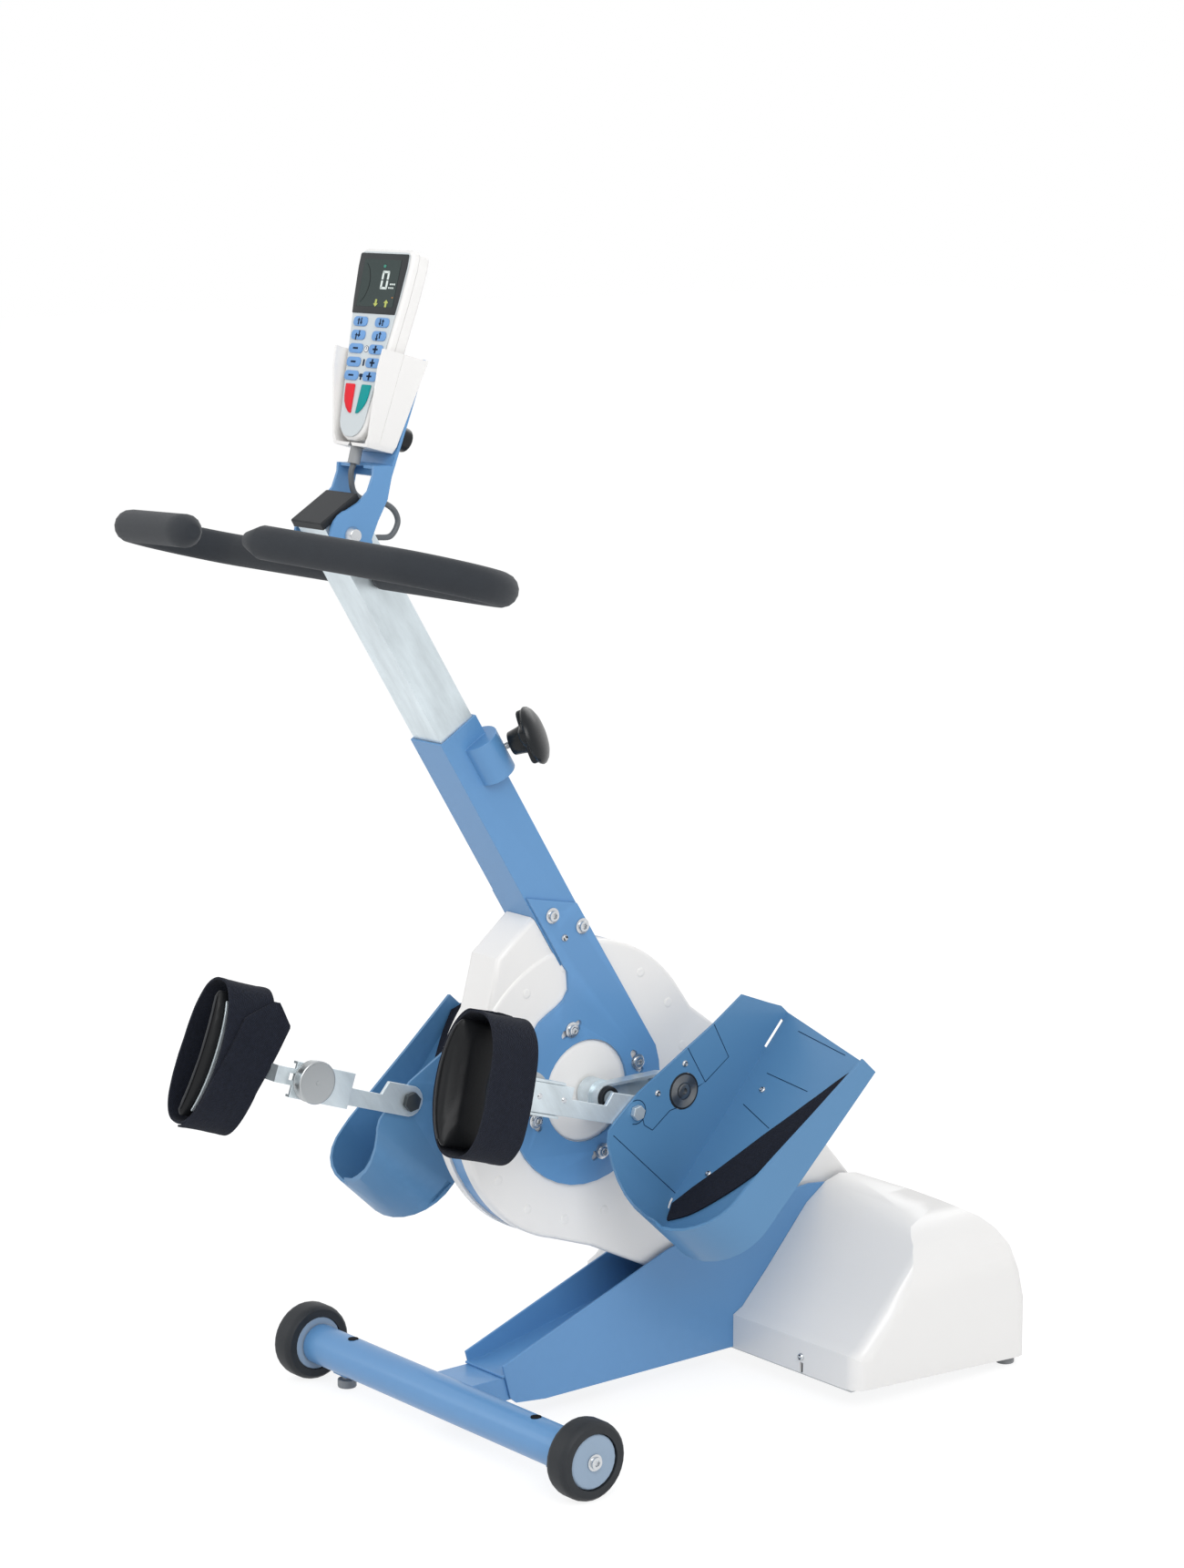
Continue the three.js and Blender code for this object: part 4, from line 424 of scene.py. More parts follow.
def settle(piece, matrix):
    """Puts a piece modelled in a group's own frame into place, with its place in its mesh"""
    only(piece)
    bpy.ops.object.transform_apply(location=True, rotation=True, scale=True)
    piece.data.transform(matrix)
    if matrix.determinant() < 0:
        piece.data.flip_normals()
    return piece


def add_box(low, high):
    bpy.ops.object.select_all(action="DESELECT")
    middle = [(a + b) / 2 for a, b in zip(low, high)]
    size = [b - a for a, b in zip(low, high)]
    bpy.ops.mesh.primitive_cube_add(size=1, location=middle, scale=size)
    piece = bpy.context.active_object
    bpy.ops.object.transform_apply(location=True, rotation=True, scale=True)
    return piece


def add_rod(radius, start, end, sides=32, tip=None):
    """A round bar from start to end, narrowed to tip at its end where that is given"""
    bpy.ops.object.select_all(action="DESELECT")
    start, end = Vector(start), Vector(end)
    along = end - start
    turn = along.to_track_quat("Z", "Y").to_euler()
    bpy.ops.mesh.primitive_cone_add(vertices=sides, radius1=radius, radius2=radius if tip is None else tip,
                                    depth=along.length, location=(start + end) / 2, rotation=turn)
    piece = bpy.context.active_object
    bpy.ops.object.transform_apply(location=True, rotation=True, scale=True)
    return piece


def add_plate(outline, thickness, edge=0.0, segments=2):
    """A flat plate in the XY plane, raised along Z from an outline by extruding it"""
    bpy.ops.object.select_all(action="DESELECT")
    bpy.ops.mesh.primitive_circle_add(vertices=len(outline), radius=0.01, fill_type="NGON")
    piece = bpy.context.active_object
    for vertex, (x, y) in zip(piece.data.vertices, outline):
        vertex.co = (x, y, 0)
    with editing(piece):
        bpy.ops.mesh.extrude_region_move(TRANSFORM_OT_translate={"value": (0, 0, thickness)})
        bpy.ops.mesh.select_all(action="SELECT")
        bpy.ops.mesh.normals_make_consistent(inside=False)
    if edge:
        apply_modifier(piece, "BEVEL", width=edge, segments=segments, limit_method="ANGLE",
                       angle_limit=math.radians(50))
    smooth(piece)
    return piece


def round_rim(piece, height, width, segments=4):
    """Rounds the rim of a plate's top face"""
    with editing(piece):
        form = bmesh.from_edit_mesh(piece.data)
        for part in (form.verts, form.edges, form.faces):
            for item in part:
                item.select = False
        for edge in form.edges:
            if all(abs(vertex.co.z - height) < 0.00001 for vertex in edge.verts):
                edge.select = True
        bmesh.update_edit_mesh(piece.data)
        bpy.ops.mesh.bevel(offset=width, segments=segments, affect="EDGES", clamp_overlap=False)
    smooth(piece, 40)


def mesh_piece(name, points, edges, faces):
    mesh = bpy.data.meshes.new(name)
    mesh.from_pydata(points, edges, faces)
    return linked(bpy.data.objects.new(name, mesh))


def turned_form(profile, steps=48):
    """A round form turned about Z from its half section, given as (radius, height)"""
    piece = mesh_piece("section", [(radius, 0, height) for radius, height in profile],
                       [(index, index + 1) for index in range(len(profile) - 1)], [])
    with editing(piece):
        bpy.ops.mesh.spin(steps=steps, angle=2 * math.pi, center=(0, 0, 0), axis=(0, 0, 1))
        bpy.ops.mesh.select_all(action="SELECT")
        bpy.ops.mesh.remove_doubles(threshold=0.000005)
        bpy.ops.mesh.normals_make_consistent(inside=False)
    smooth(piece, 40)
    return piece


def from_sections(sections, name, closed=False):
    """A closed form through sections of as many points each, its ends filled unless it closes on itself"""
    count = len(sections[0])
    faces = []
    last = len(sections) - 1
    for index in range(last + 1 if closed else last):
        here, following = index * count, (index + 1) % (last + 1) * count
        for step in range(count):
            beside = (step + 1) % count
            faces.append((here + step, here + beside, following + beside, following + step))
    if not closed:
        faces += [tuple(range(count))[::-1], tuple(last * count + step for step in range(count))]
    piece = mesh_piece(name, [point for section in sections for point in section], [], faces)
    with editing(piece):
        bpy.ops.mesh.normals_make_consistent(inside=False)
    return piece


def woven_band(line, middle, half_width, thickness, closed=False, lift=0.0, skew=None, tip=0.0, seed=0.0):
    """A band of webbing along a line of (across, up) points round a middle, as wide as given along Y"""
    columns = 12
    count = len(line)
    lengths = [0.0]
    for index in range(1, count):
        lengths.append(lengths[-1] + math.dist(line[index], line[index - 1]))
    sections = []
    for index, (x, up) in enumerate(line):
        before = line[(index - 1) % count if closed else max(index - 1, 0)]
        after = line[(index + 1) % count if closed else min(index + 1, count - 1)]
        along = Vector((after[0] - before[0], after[1] - before[1])).normalized()
        outward = Vector((along.y, -along.x))
        if outward.dot(Vector((x - middle, up))) < 0:
            outward = -outward
        left = lengths[-1] - lengths[index]
        narrow = min(1.0, 0.12 + left / tip) if tip else 1.0
        sideways = skew(index / (count - 1)) if skew else 0.0
        outer, inner = [], []
        for column in range(columns + 1):
            share = column / columns * 2 - 1
            y = share * half_width * narrow + sideways
            ripple = noise.noise(Vector((x * 60 + seed, y * 45, up * 60))) * 0.0007
            hem = 0.0004 if abs(share) > 0.8 else 0.0
            raised = lift + ripple
            for side, height in ((outer, raised + thickness + hem), (inner, raised)):
                side.append((x + outward.x * height, y, up + outward.y * height))
        sections.append(outer + inner[::-1])
    band = from_sections(sections, "band", closed)
    smooth(band, 40)
    return band


def oval(middle, half_across, half_up, start, end, steps, squareness=2.8):
    """Points (across, up) on a cuff's loop, round on the plate's side and squarer on the free side"""
    points = []
    for step in range(steps + 1):
        angle = math.radians(start + (end - start) * step / steps)
        power = 2 / squareness if math.cos(angle) > 0 else 1
        across, up = (math.copysign(abs(value) ** power, value)
                      for value in (math.cos(angle), math.sin(angle)))
        points.append((middle + half_across * across, half_up * up))
    return points


def plump(piece, reach, voxel=0.0032, frames=20):
    """Fills a closed form as a pad is filled, by cloth under a light pressure"""
    apply_modifier(piece, "REMESH", mode="VOXEL", voxel_size=voxel)
    rest = [vertex.co.copy() for vertex in piece.data.vertices]
    only(piece)
    cloth = piece.modifiers.new("Filling", "CLOTH")
    cloth.settings.use_pressure = True
    cloth.settings.uniform_pressure_force = 4
    cloth.settings.effector_weights.gravity = 0
    cloth.settings.mass = 0.3
    scene = bpy.context.scene
    cloth.point_cache.frame_start, cloth.point_cache.frame_end = 1, frames
    for frame in range(1, frames + 1):
        scene.frame_set(frame)
    bpy.ops.object.modifier_apply(modifier=cloth.name)
    scene.frame_set(1)
    for vertex, start in zip(piece.data.vertices, rest):
        move = vertex.co - start
        if move.length > reach:
            vertex.co = start + move.normalized() * reach
    apply_modifier(piece, "SUBSURF", levels=1, render_levels=1)
    smooth(piece, 60)
    return piece


def rounded(half_x, half_y, radius, centre=(0, 0), steps=5):
    """Outline of a rectangle with round corners"""
    points = []
    for quarter in range(4):
        corner_x = (half_x - radius) * (1 if quarter in (0, 3) else -1)
        corner_y = (half_y - radius) * (1 if quarter in (0, 1) else -1)
        for step in range(steps + 1):
            angle = math.pi / 2 * (quarter + step / steps)
            points.append((centre[0] + corner_x + radius * math.cos(angle),
                           centre[1] + corner_y + radius * math.sin(angle)))
    return points


def cut_with(piece, *cutters):
    for cutter in cutters:
        apply_modifier(piece, "BOOLEAN", operation="DIFFERENCE", object=cutter, solver="EXACT")
        bpy.data.objects.remove(cutter, do_unlink=True)
    return piece


def merge(pieces):
    """Several pieces in one object"""
    bpy.ops.object.select_all(action="DESELECT")
    for piece in pieces:
        piece.select_set(True)
    bpy.context.view_layer.objects.active = pieces[0]
    bpy.ops.object.join()
    return bpy.context.active_object


def dress(node, finish_name, width=None, segments=2, cuts=(), cutters=()):
    """A copy of a node with rounded edges and its finish, cut off where joined fixings are remade"""
    piece = NODES[node].copy()
    piece.data = NODES[node].data.copy()
    with editing(linked(piece)):
        bpy.ops.mesh.remove_doubles(threshold=0.00001)
        for point, normal in cuts:
            bpy.ops.mesh.select_all(action="SELECT")
            bpy.ops.mesh.bisect(plane_co=point, plane_no=normal, use_fill=True, clear_outer=True,
                                threshold=0.00002)
    cut_with(piece, *cutters)
    with editing(piece):
        bpy.ops.mesh.dissolve_limited(angle_limit=math.radians(0.6))
    named(piece, f"{node}_finished", finish_name, BODY_OF[node])
    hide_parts(node)
    round_edges(piece, sizes().edge if width is None else width, segments)
    apply_modifier(piece, "WEIGHTED_NORMAL", keep_sharp=True, weight=60)
    return piece


def socket_screw(radius, height, washer=None):
    """A screw with a hexagon socket, its head standing along Z"""
    head = add_rod(radius, (0, 0, 0), (0, 0, height), 28)
    socket = add_rod(radius * 0.56, (0, 0, height * 0.35), (0, 0, height * 1.5), 6)
    parts = [cut_with(head, socket)]
    if washer:
        parts.append(add_rod(washer, (0, 0, 0), (0, 0, height * 0.3), 28))
    piece = merge(parts)
    round_edges(piece, radius * 0.09, 2)
    return piece


def pan_screw(radius, height):
    """A low round-headed screw with a cross recess, its head standing along Z"""
    head = add_rod(radius, (0, 0, 0), (0, 0, height), 24, radius * 0.72)
    slot, reach = radius * 0.16, radius * 0.6
    cut_with(
        head,
        add_box((-reach, -slot, height * 0.5), (reach, slot, height * 2)),
        add_box((-slot, -reach, height * 0.5), (slot, reach, height * 2)),
    )
    round_edges(head, radius * 0.08, 2)
    return head


def copies(master, places):
    """One copy of the master for each matrix, all in one object, and the master gone"""
    pieces = []
    for matrix in places:
        piece = master.copy()
        piece.data = master.data.copy()
        linked(piece)
        piece.data.transform(matrix)
        if matrix.determinant() < 0:
            piece.data.flip_normals()
        pieces.append(piece)
    bpy.data.objects.remove(master, do_unlink=True)
    return merge(pieces)


def facing_x(x, y, z, sign=1, spin=0.0):
    """A place on a side face, its Z axis along X"""
    return shift(x * sign, y, z) @ turned(math.pi / 2 * sign, "Y") @ turned(spin, "Z")


def strip(points, width, height, across):
    """A thin bead along a line, as wide as given, standing along the across vector"""
    points = [Vector(point) for point in points]
    across = Vector(across).normalized()
    sections = []
    for before, point, after in zip(points[:1] + points, points, points[1:] + points[-1:]):
        along = (after - before).normalized()
        side = across.cross(along).normalized() * width / 2
        lift = across * height
        sections.append([point - side, point - side + lift, point + side + lift, point + side])
    return from_sections(sections, "bead")


def tube_along(points, radius, sides=16):
    """A round tube along a smooth line, made a mesh"""
    curve = bpy.data.curves.new("tube", "CURVE")
    curve.dimensions = "3D"
    curve.bevel_depth = radius
    curve.bevel_resolution = max(1, sides // 4 - 1)
    curve.use_fill_caps = True
    spline = curve.splines.new("POLY")
    spline.points.add(len(points) - 1)
    for point, place in zip(spline.points, points):
        point.co = (*place, 1)
    piece = linked(bpy.data.objects.new("tube", curve))
    bpy.ops.object.convert(target="MESH")
    smooth(piece, 40)
    return piece


def on_curve(points, index, share):
    """A point of the smooth line through the given points, a share of the way on from the one at the index"""
    before, start, end, after = (
        Vector(points[min(max(index + step, 0), len(points) - 1)]) for step in (-1, 0, 1, 2))
    bend = (2 * before - 5 * start + 4 * end - after) * share ** 2
    twist = (3 * (start - end) + after - before) * share ** 3
    return 0.5 * (2 * start + (end - before) * share + bend + twist)


def smooth_line(points, steps=8):
    """A smooth line through the given points"""
    spots = [on_curve(points, index, step / steps)
             for index in range(len(points) - 1) for step in range(steps)]
    return spots + [Vector(points[-1])]


class TrainerOperator:
    """What the trainer's operators share"""

    bl_options = {"REGISTER", "UNDO"}

    def execute(self, context):
        self.build()
        return {"FINISHED"}


class TRAINER_OT_frame(TrainerOperator, bpy.types.Operator):
    """Crossbar, beam, folded trough and their feet"""

    bl_idname = "trainer.frame"
    bl_label = "Frame"

    def build(self):
        tube_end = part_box("wheel_tyre_right")[0][0] - 0.0014
        dress("crossbar", "Blue enamel", width=0.0006,
              cuts=[((sign * tube_end, 0, 0), (sign, 0, 0)) for _, sign in SIDES])
        for node in ("beam", "trough_frame"):
            dress(node, "Blue enamel")
        hole_out, hole_low, hole_high = 0.152, 0.0600, 0.0613
        holes = [add_rod(0.0055, (sign * hole_out, BAR_Y, hole_low), (sign * hole_out, BAR_Y, hole_high), 24)
                 for _, sign in SIDES]
        named(merge(holes), "crossbar_holes", "Shaded recess", "frame")
        ends = [facing_x(BAR_HIGH[0] - 0.0045, BAR_Y, 0.040, sign) for _, sign in SIDES]
        named(copies(socket_screw(0.0062, 0.0045, 0.0085), ends), "wheel_screws", "Bright steel", "frame")
        half_wide, half_deep, bracket_low, bracket_high = 0.012, 0.010, 0.0135, 0.0205
        brackets = []
        for side, _ in SIDES:
            low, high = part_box(f"levelling_foot_{side}")
            x, y = (low[0] + high[0]) / 2, (low[1] + high[1]) / 2
            bracket = add_box((x - half_wide, y - half_deep, bracket_low),
                              (x + half_wide, y + half_deep, bracket_high))
            cut_with(bracket, add_rod(0.0056, (x, y, 0.0), (x, y, 0.04), 20))
            round_edges(bracket, 0.0015, 2)
            brackets.append(bracket)
            dress(f"levelling_foot_{side}", "Grey plastic", width=0.0012)
        named(merge(brackets), "foot_brackets", "Blue enamel", "frame")
        for side, _ in SIDES:
            dress(f"rear_foot_{side}", "Grey plastic", width=0.0015)
        dress("base_plate", "Turned steel")


class TRAINER_OT_wheels(TrainerOperator, bpy.types.Operator):
    """Tyres and hubs of the crossbar's wheels"""

    bl_idname = "trainer.wheels"
    bl_label = "Wheels"

    def build(self):
        for side, _ in SIDES:
            dress(f"wheel_tyre_{side}", "Tyre rubber", width=0.0)
            dress(f"wheel_hub_{side}", "Hub plastic", width=0.0012)


class TRAINER_OT_housing(TrainerOperator, bpy.types.Operator):
    """Drum housing with its studs, the band between its halves and the rear hood"""

    bl_idname = "trainer.housing"
    bl_label = "Housing"

    def build(self):
        for side, sign in SIDES:
            shell = named(self.shell(sign), f"drum_shell_{side}_moulded", "White casing", "frame")
            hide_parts(f"drum_shell_{side}")
        named(self.nose(), "drum_nose", "White casing", "frame")
        dress("drum_band", "Blue enamel")
        screw_face = HOOD_FRONT - 0.0002
        dress("rear_hood", "White casing", width=0.0006, cuts=[((0, screw_face, 0), (0, -1, 0))])
        places = [shift(sign * 0.139, screw_face, 0.0395) @ turned(math.pi / 2, "X") for _, sign in SIDES]
        named(copies(pan_screw(0.0042, 0.0026), places), "hood_screws", "Bright steel", "frame")
        dress("drive_motor", "Grey plastic")
        dress("control_box", "Grey plastic")
        dress("mains_inlet", "Black plastic")

    def drum_plate(self, outline, depth, rims, rounding, place):
        """A plate of the housing with round rims, cut back from the column"""
        plate = add_plate(outline, depth)
        for height in rims:
            round_rim(plate, height, rounding)
        settle(plate, place @ SIDE_VIEW)
        cut_with(plate, settle(add_box((-0.0253, -0.0003, -0.2823), (0.0253, 0.0503, 0.02)), COLUMN))
        smooth(plate, 40)
        return plate

    def shell(self, sign):
        """One moulded half: a round side face that runs out into the tail, with its ring of studs"""
        tail_end, tail_top = BAR_Y + 0.5554 - HUB.y, 0.022 + 0.164 * 0.84 - HUB.z
        floor = 0.062 - HUB.z
        start, end, steps = 34, 255, 72
        angles = [math.radians(start + (end - start) * step / steps) for step in range(steps + 1)]
        shares = [(2.155, -0.719), (1.123, 0.281), (0.929, 0.423)]
        shares += [(math.cos(angle), math.sin(angle)) for angle in angles] + [(0.07, -1.08), (0.56, -1.32)]
        outline = [(tail_end, floor), (tail_end, tail_top)]
        outline += [(y * DRUM_RADIUS, z * DRUM_RADIUS) for y, z in shares] + [(DRUM_RADIUS * 1.5, floor)]
        plate = self.drum_plate(outline, SHELL_DEPTH, (SHELL_DEPTH,), 0.0045,
                                mirror_for(sign) @ shift(SHELL_INNER_FACE, HUB.y, HUB.z))
        dome = turned_form([(0, -0.002), (0.052, -0.002), (0.052, 0.0006), (0.0512, 0.0014), (0.045, 0.0024),
                            (0.030, 0.0036), (0.016, 0.0043), (0, 0.0045)], 72)
        stud = turned_form([(0, -0.001), (0.0052, -0.001), (0.0050, 0.0003), (0.0036, 0.0009),
                            (0.0016, 0.0007), (0, 0.0006)], 24)
        face = mirror_for(sign) @ shift(SHELL_INNER_FACE + SHELL_DEPTH, HUB.y, HUB.z) @ SIDE_VIEW
        settle(dome, face)
        studs, stud_ring = 16, 0.134
        angles = [math.radians(360 / studs * (number + 0.5)) for number in range(studs)]
        places = [face @ shift(stud_ring * math.cos(angle), stud_ring * math.sin(angle), 0) for angle in angles]
        return merge([plate, dome, copies(stud, places)])

    def nose(self):
        """The angular front of the housing, a step lower than the round side faces"""
        shares = ((-0.12, 0.70), (-0.16, 0.92), (-0.34, 1.195), (-0.415, 1.207), (-0.70, 0.975),
                  (-0.722, 0.887), (-0.799, 0.602), (-0.60, 0.45))
        return self.drum_plate([(y * DRUM_RADIUS, z * DRUM_RADIUS) for y, z in shares], NOSE_HALF * 2,
                               (NOSE_HALF * 2, 0.0), 0.0048, shift(-NOSE_HALF, HUB.y, HUB.z))


class TRAINER_OT_plates(TrainerOperator, bpy.types.Operator):
    """Side plates that carry the column, and their screws"""

    bl_idname = "trainer.plates"
    bl_label = "Side plates"

    def build(self):
        bolt_ring = 0.0695
        big, small = [], []
        slots = {side: [] for side, _ in SIDES}
        for side, sign in SIDES:
            for turn in (16.5, 106.5, 196.5, 286.5):
                angle = math.radians(turn)
                y, z = HUB.y + bolt_ring * math.cos(angle), HUB.z + bolt_ring * math.sin(angle)
                big.append(facing_x(SIDE_PLATE_FACE, y, z, sign, angle))
                slot = add_plate(rounded(0.0142, 0.0036, 0.0034), 0.012)
                slots[side].append(settle(slot, facing_x(SIDE_PLATE_FACE - 0.006, y, z, sign, angle + 0.2)))
            for screws, deep, up, spin in ((big, 0.0165, 0.0536, 0.3), (big, 0.041, 0.020, 0.3),
                                           (small, 0.017, 0.024, 0.5)):
                place = COLUMN @ Vector((0, deep, up - 0.282))
                screws.append(facing_x(SIDE_PLATE_FACE, place.y, place.z, sign, spin))
        for side, sign in SIDES:
            dress(f"side_plate_{side}", "Blue enamel", cutters=slots[side],
                  cuts=[((sign * (SIDE_PLATE_FACE + 0.0002), 0, 0), (sign, 0, 0))])
        named(copies(socket_screw(0.0055, 0.0052, 0.0082), big), "plate_screws", "Bright steel", "frame")
        named(copies(pan_screw(0.0042, 0.0024), small), "plate_small_screws", "Bright steel", "frame")


class TRAINER_OT_drive(TrainerOperator, bpy.types.Operator):
    """Crank, pulleys and belt"""

    bl_idname = "trainer.drive"
    bl_label = "Drive"

    def build(self):
        for side, _ in SIDES:
            dress(f"crank_arm_{side}", "Galvanised zinc", width=0.0008)
        foot, dish, top, beyond = 0.058, 0.0648, 0.0662, 0.07
        caps = []
        for _, sign in SIDES:
            cap = add_rod(0.0122, (sign * foot, HUB.y, HUB.z), (sign * top, HUB.y, HUB.z), 36, 0.0112)
            cut_with(cap, add_rod(0.0075, (sign * dish, HUB.y, HUB.z), (sign * beyond, HUB.y, HUB.z), 28))
            round_edges(cap, 0.0009, 3)
            caps.append(cap)
        named(merge(caps), "crank_caps", "Black plastic", "crank")
        dress("crank_shaft", "Bright steel")
        dress("driven_pulley", "Grey plastic")
        dress("motor_pulley", "Bright steel")
        dress("drive_belt", "Black plastic")


class TRAINER_OT_foot_shells(TrainerOperator, bpy.types.Operator):
    """Foot shells with their slits, seams, screws and bearings"""

    bl_idname = "trainer.foot_shells"
    bl_label = "Foot shells"

    def build(self):
        for side, sign in SIDES:
            body = f"foot_{side}"
            frame = foot_frame(side, sign)
            heel = settle(add_box((-0.0025, -0.016, -0.0025), (0.0025, 0.016, 0.0027)),
                          shift(0.0042, -0.0165, 0) @ turned(math.radians(16), "Z"))
            slits = [
                add_box((-0.002, 0.181, -0.0028), (WALL + 0.0001, 0.216, 0.0030)),
                heel,
                add_rod(0.0064, (-0.001, 0.034, 0.103), (0.0045, 0.034, 0.103), 32),
            ]
            for slit in slits:
                settle(slit, frame)
            dress(f"foot_shell_{side}", "Foot shell plastic", width=0.0011, segments=3, cutters=slits)
            named(settle(self.seams(), frame), f"foot_seams_{side}", "Seam shadow", body)
            on_wall = [shift(WALL, along, up) @ UPRIGHT_TO_X for along, up in ((0.107, 0.082), (0.064, 0.092))]
            on_sole = [shift(across, along, 0) for across, along in ((0.032, 0.135), (0.029, 0.031))]
            screws = settle(copies(pan_screw(0.0038, 0.0016), on_wall + on_sole), frame)
            named(screws, f"foot_screws_{side}", "Bright steel", body)
            self.bearing(side, frame, body)

    def seams(self):
        """Joint lines of the wall's panels, with a ring round the guide's bolt, and of the sole"""
        ring = tuple((0.034 + 0.0125 * math.cos(angle), 0.103 + 0.0125 * math.sin(angle))
                     for angle in (math.radians(-160 + 20 * step) for step in range(12)))
        on_wall = (
            ((0.121, 0.090), (0.108, 0.046), (0.099, 0.051)),
            ((0.159, 0.077), (0.145, 0.037), (0.108, 0.046)),
            ((0.099, 0.0505), (0.066, 0.061)),
            ((0.032, 0.072), (0.030, 0.085), (0.040, 0.100)),
            ((0.066, 0.061), (0.060, 0.066), (0.032, 0.072)),
            ((0.0, 0.001), (0.0, 0.060), (0.0, 0.112)),
            ring,
        )
        on_sole = (
            ((0.032, 0.208), (0.111, 0.196)),
            ((0.025, 0.154), (0.091, 0.147)),
            ((0.019, 0.114), (0.071, 0.097)),
        )
        width, height, clear = sizes().seam, 0.00012, 0.00005
        beads = [strip([(WALL + clear, along, up) for along, up in line], width, height, (1, 0, 0))
                 for line in on_wall]
        beads += [strip([(across, along, clear) for across, along in line], width, height, (0, 0, 1))
                  for line in on_sole]
        return merge(beads)

    def bearing(self, side, frame, body):
        """The grooved disc of a pedal's bearing, with its cap and the ring round it"""
        face, base, rim = WALL + 0.0006, 0.0008, 0.0170
        profile = [(0, base), (rim, base), (rim, face)]
        radius = 0.0168
        while radius > 0.0092:
            profile += [(radius, face + 0.00012), (radius - 0.0004, face - 0.00008)]
            radius -= 0.0008
        profile += [(0.0088, face), (0.0086, face - 0.0009), (0.0078, face - 0.0009), (0.0076, face + 0.0002),
                    (0.0062, face + 0.0007), (0.0034, face + 0.0009), (0.0032, face - 0.0014),
                    (0, face - 0.0014)]
        disc = turned_form(profile, 64)
        ring = turned_form([(rim, base), (0.0189, base), (0.0189, face - 0.0002), (0.0182, face + 0.0002),
                            (rim, face)], 64)
        for piece in (disc, ring):
            settle(piece, frame @ shift(0, 0.085, 0.064) @ UPRIGHT_TO_X)
        named(ring, f"pedal_ring_{side}", "Black plastic", body)
        named(disc, f"pedal_disc_{side}", "Bearing steel", body)
        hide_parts(f"pedal_bearing_{side}")


class TRAINER_OT_guides(TrainerOperator, bpy.types.Operator):
    """Leg guide bars, cuff sliders and their clamp discs"""

    bl_idname = "trainer.guides"
    bl_label = "Leg guides"

    def build(self):
        for side, sign in SIDES:
            frame = guide_frame(side, sign)
            dress(f"guide_bar_{side}", "Galvanised zinc", width=0.0006)
            dress(f"cuff_slider_{side}", "Galvanised zinc", width=0.0005)
            rivets = copies(add_rod(0.0032, (0, 0, 0), (0, 0, 0.0012), 20, 0.0022),
                            [shift(0.089, along, -0.001) @ UPRIGHT_TO_X for along in (-0.094, -0.126)])
            named(settle(rivets, frame), f"guide_rivets_{side}", "Bright steel", f"guide_{side}")
            low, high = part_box(f"guide_bar_{side}")
            inner = min(abs(low.x), abs(high.x))
            corners = [(0.0104 * math.cos(math.radians(60 * turn)), 0.0104 * math.sin(math.radians(60 * turn)))
                       for turn in range(6)]
            bolt = add_plate(corners, GUIDE_FACE + 0.0001 - inner, 0.0007, 3)
            settle(bolt, shift(GUIDE_FACE, 0, 0) @ turned(-math.pi / 2, "Y"))
            named(settle(bolt, frame), f"guide_bolt_{side}", "Blackened steel", f"guide_{side}")
            self.disc(side, frame)

    def disc(self, side, frame):
        """A clamp disc with turned grooves on its outer face"""
        outer, inner = 0.0697, 0.0817
        depth = inner - outer
        profile = [(0, -0.0004), (0.0018, -0.0004), (0.0020, 0.0001)]
        radius = 0.0024
        while radius < 0.0200:
            profile += [(radius, 0.00004), (radius + 0.0003, 0.0)]
            radius += 0.0006
        profile += [(0.0212, 0.0002), (0.0218, 0.0008), (0.0218, 0.0028), (0.0208, 0.0034),
                    (0.0208, depth - 0.002), (0.0214, depth - 0.001), (0.0212, depth), (0.0032, depth),
                    (0.0032, depth + 0.0030), (0, depth + 0.0030)]
        disc = settle(turned_form(profile, 96), frame @ shift(outer, -0.132, 0) @ UPRIGHT_TO_X)
        named(disc, f"clamp_disc_{side}_turned", "Turned steel", f"clamp_{side}")
        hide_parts(f"clamp_disc_{side}")


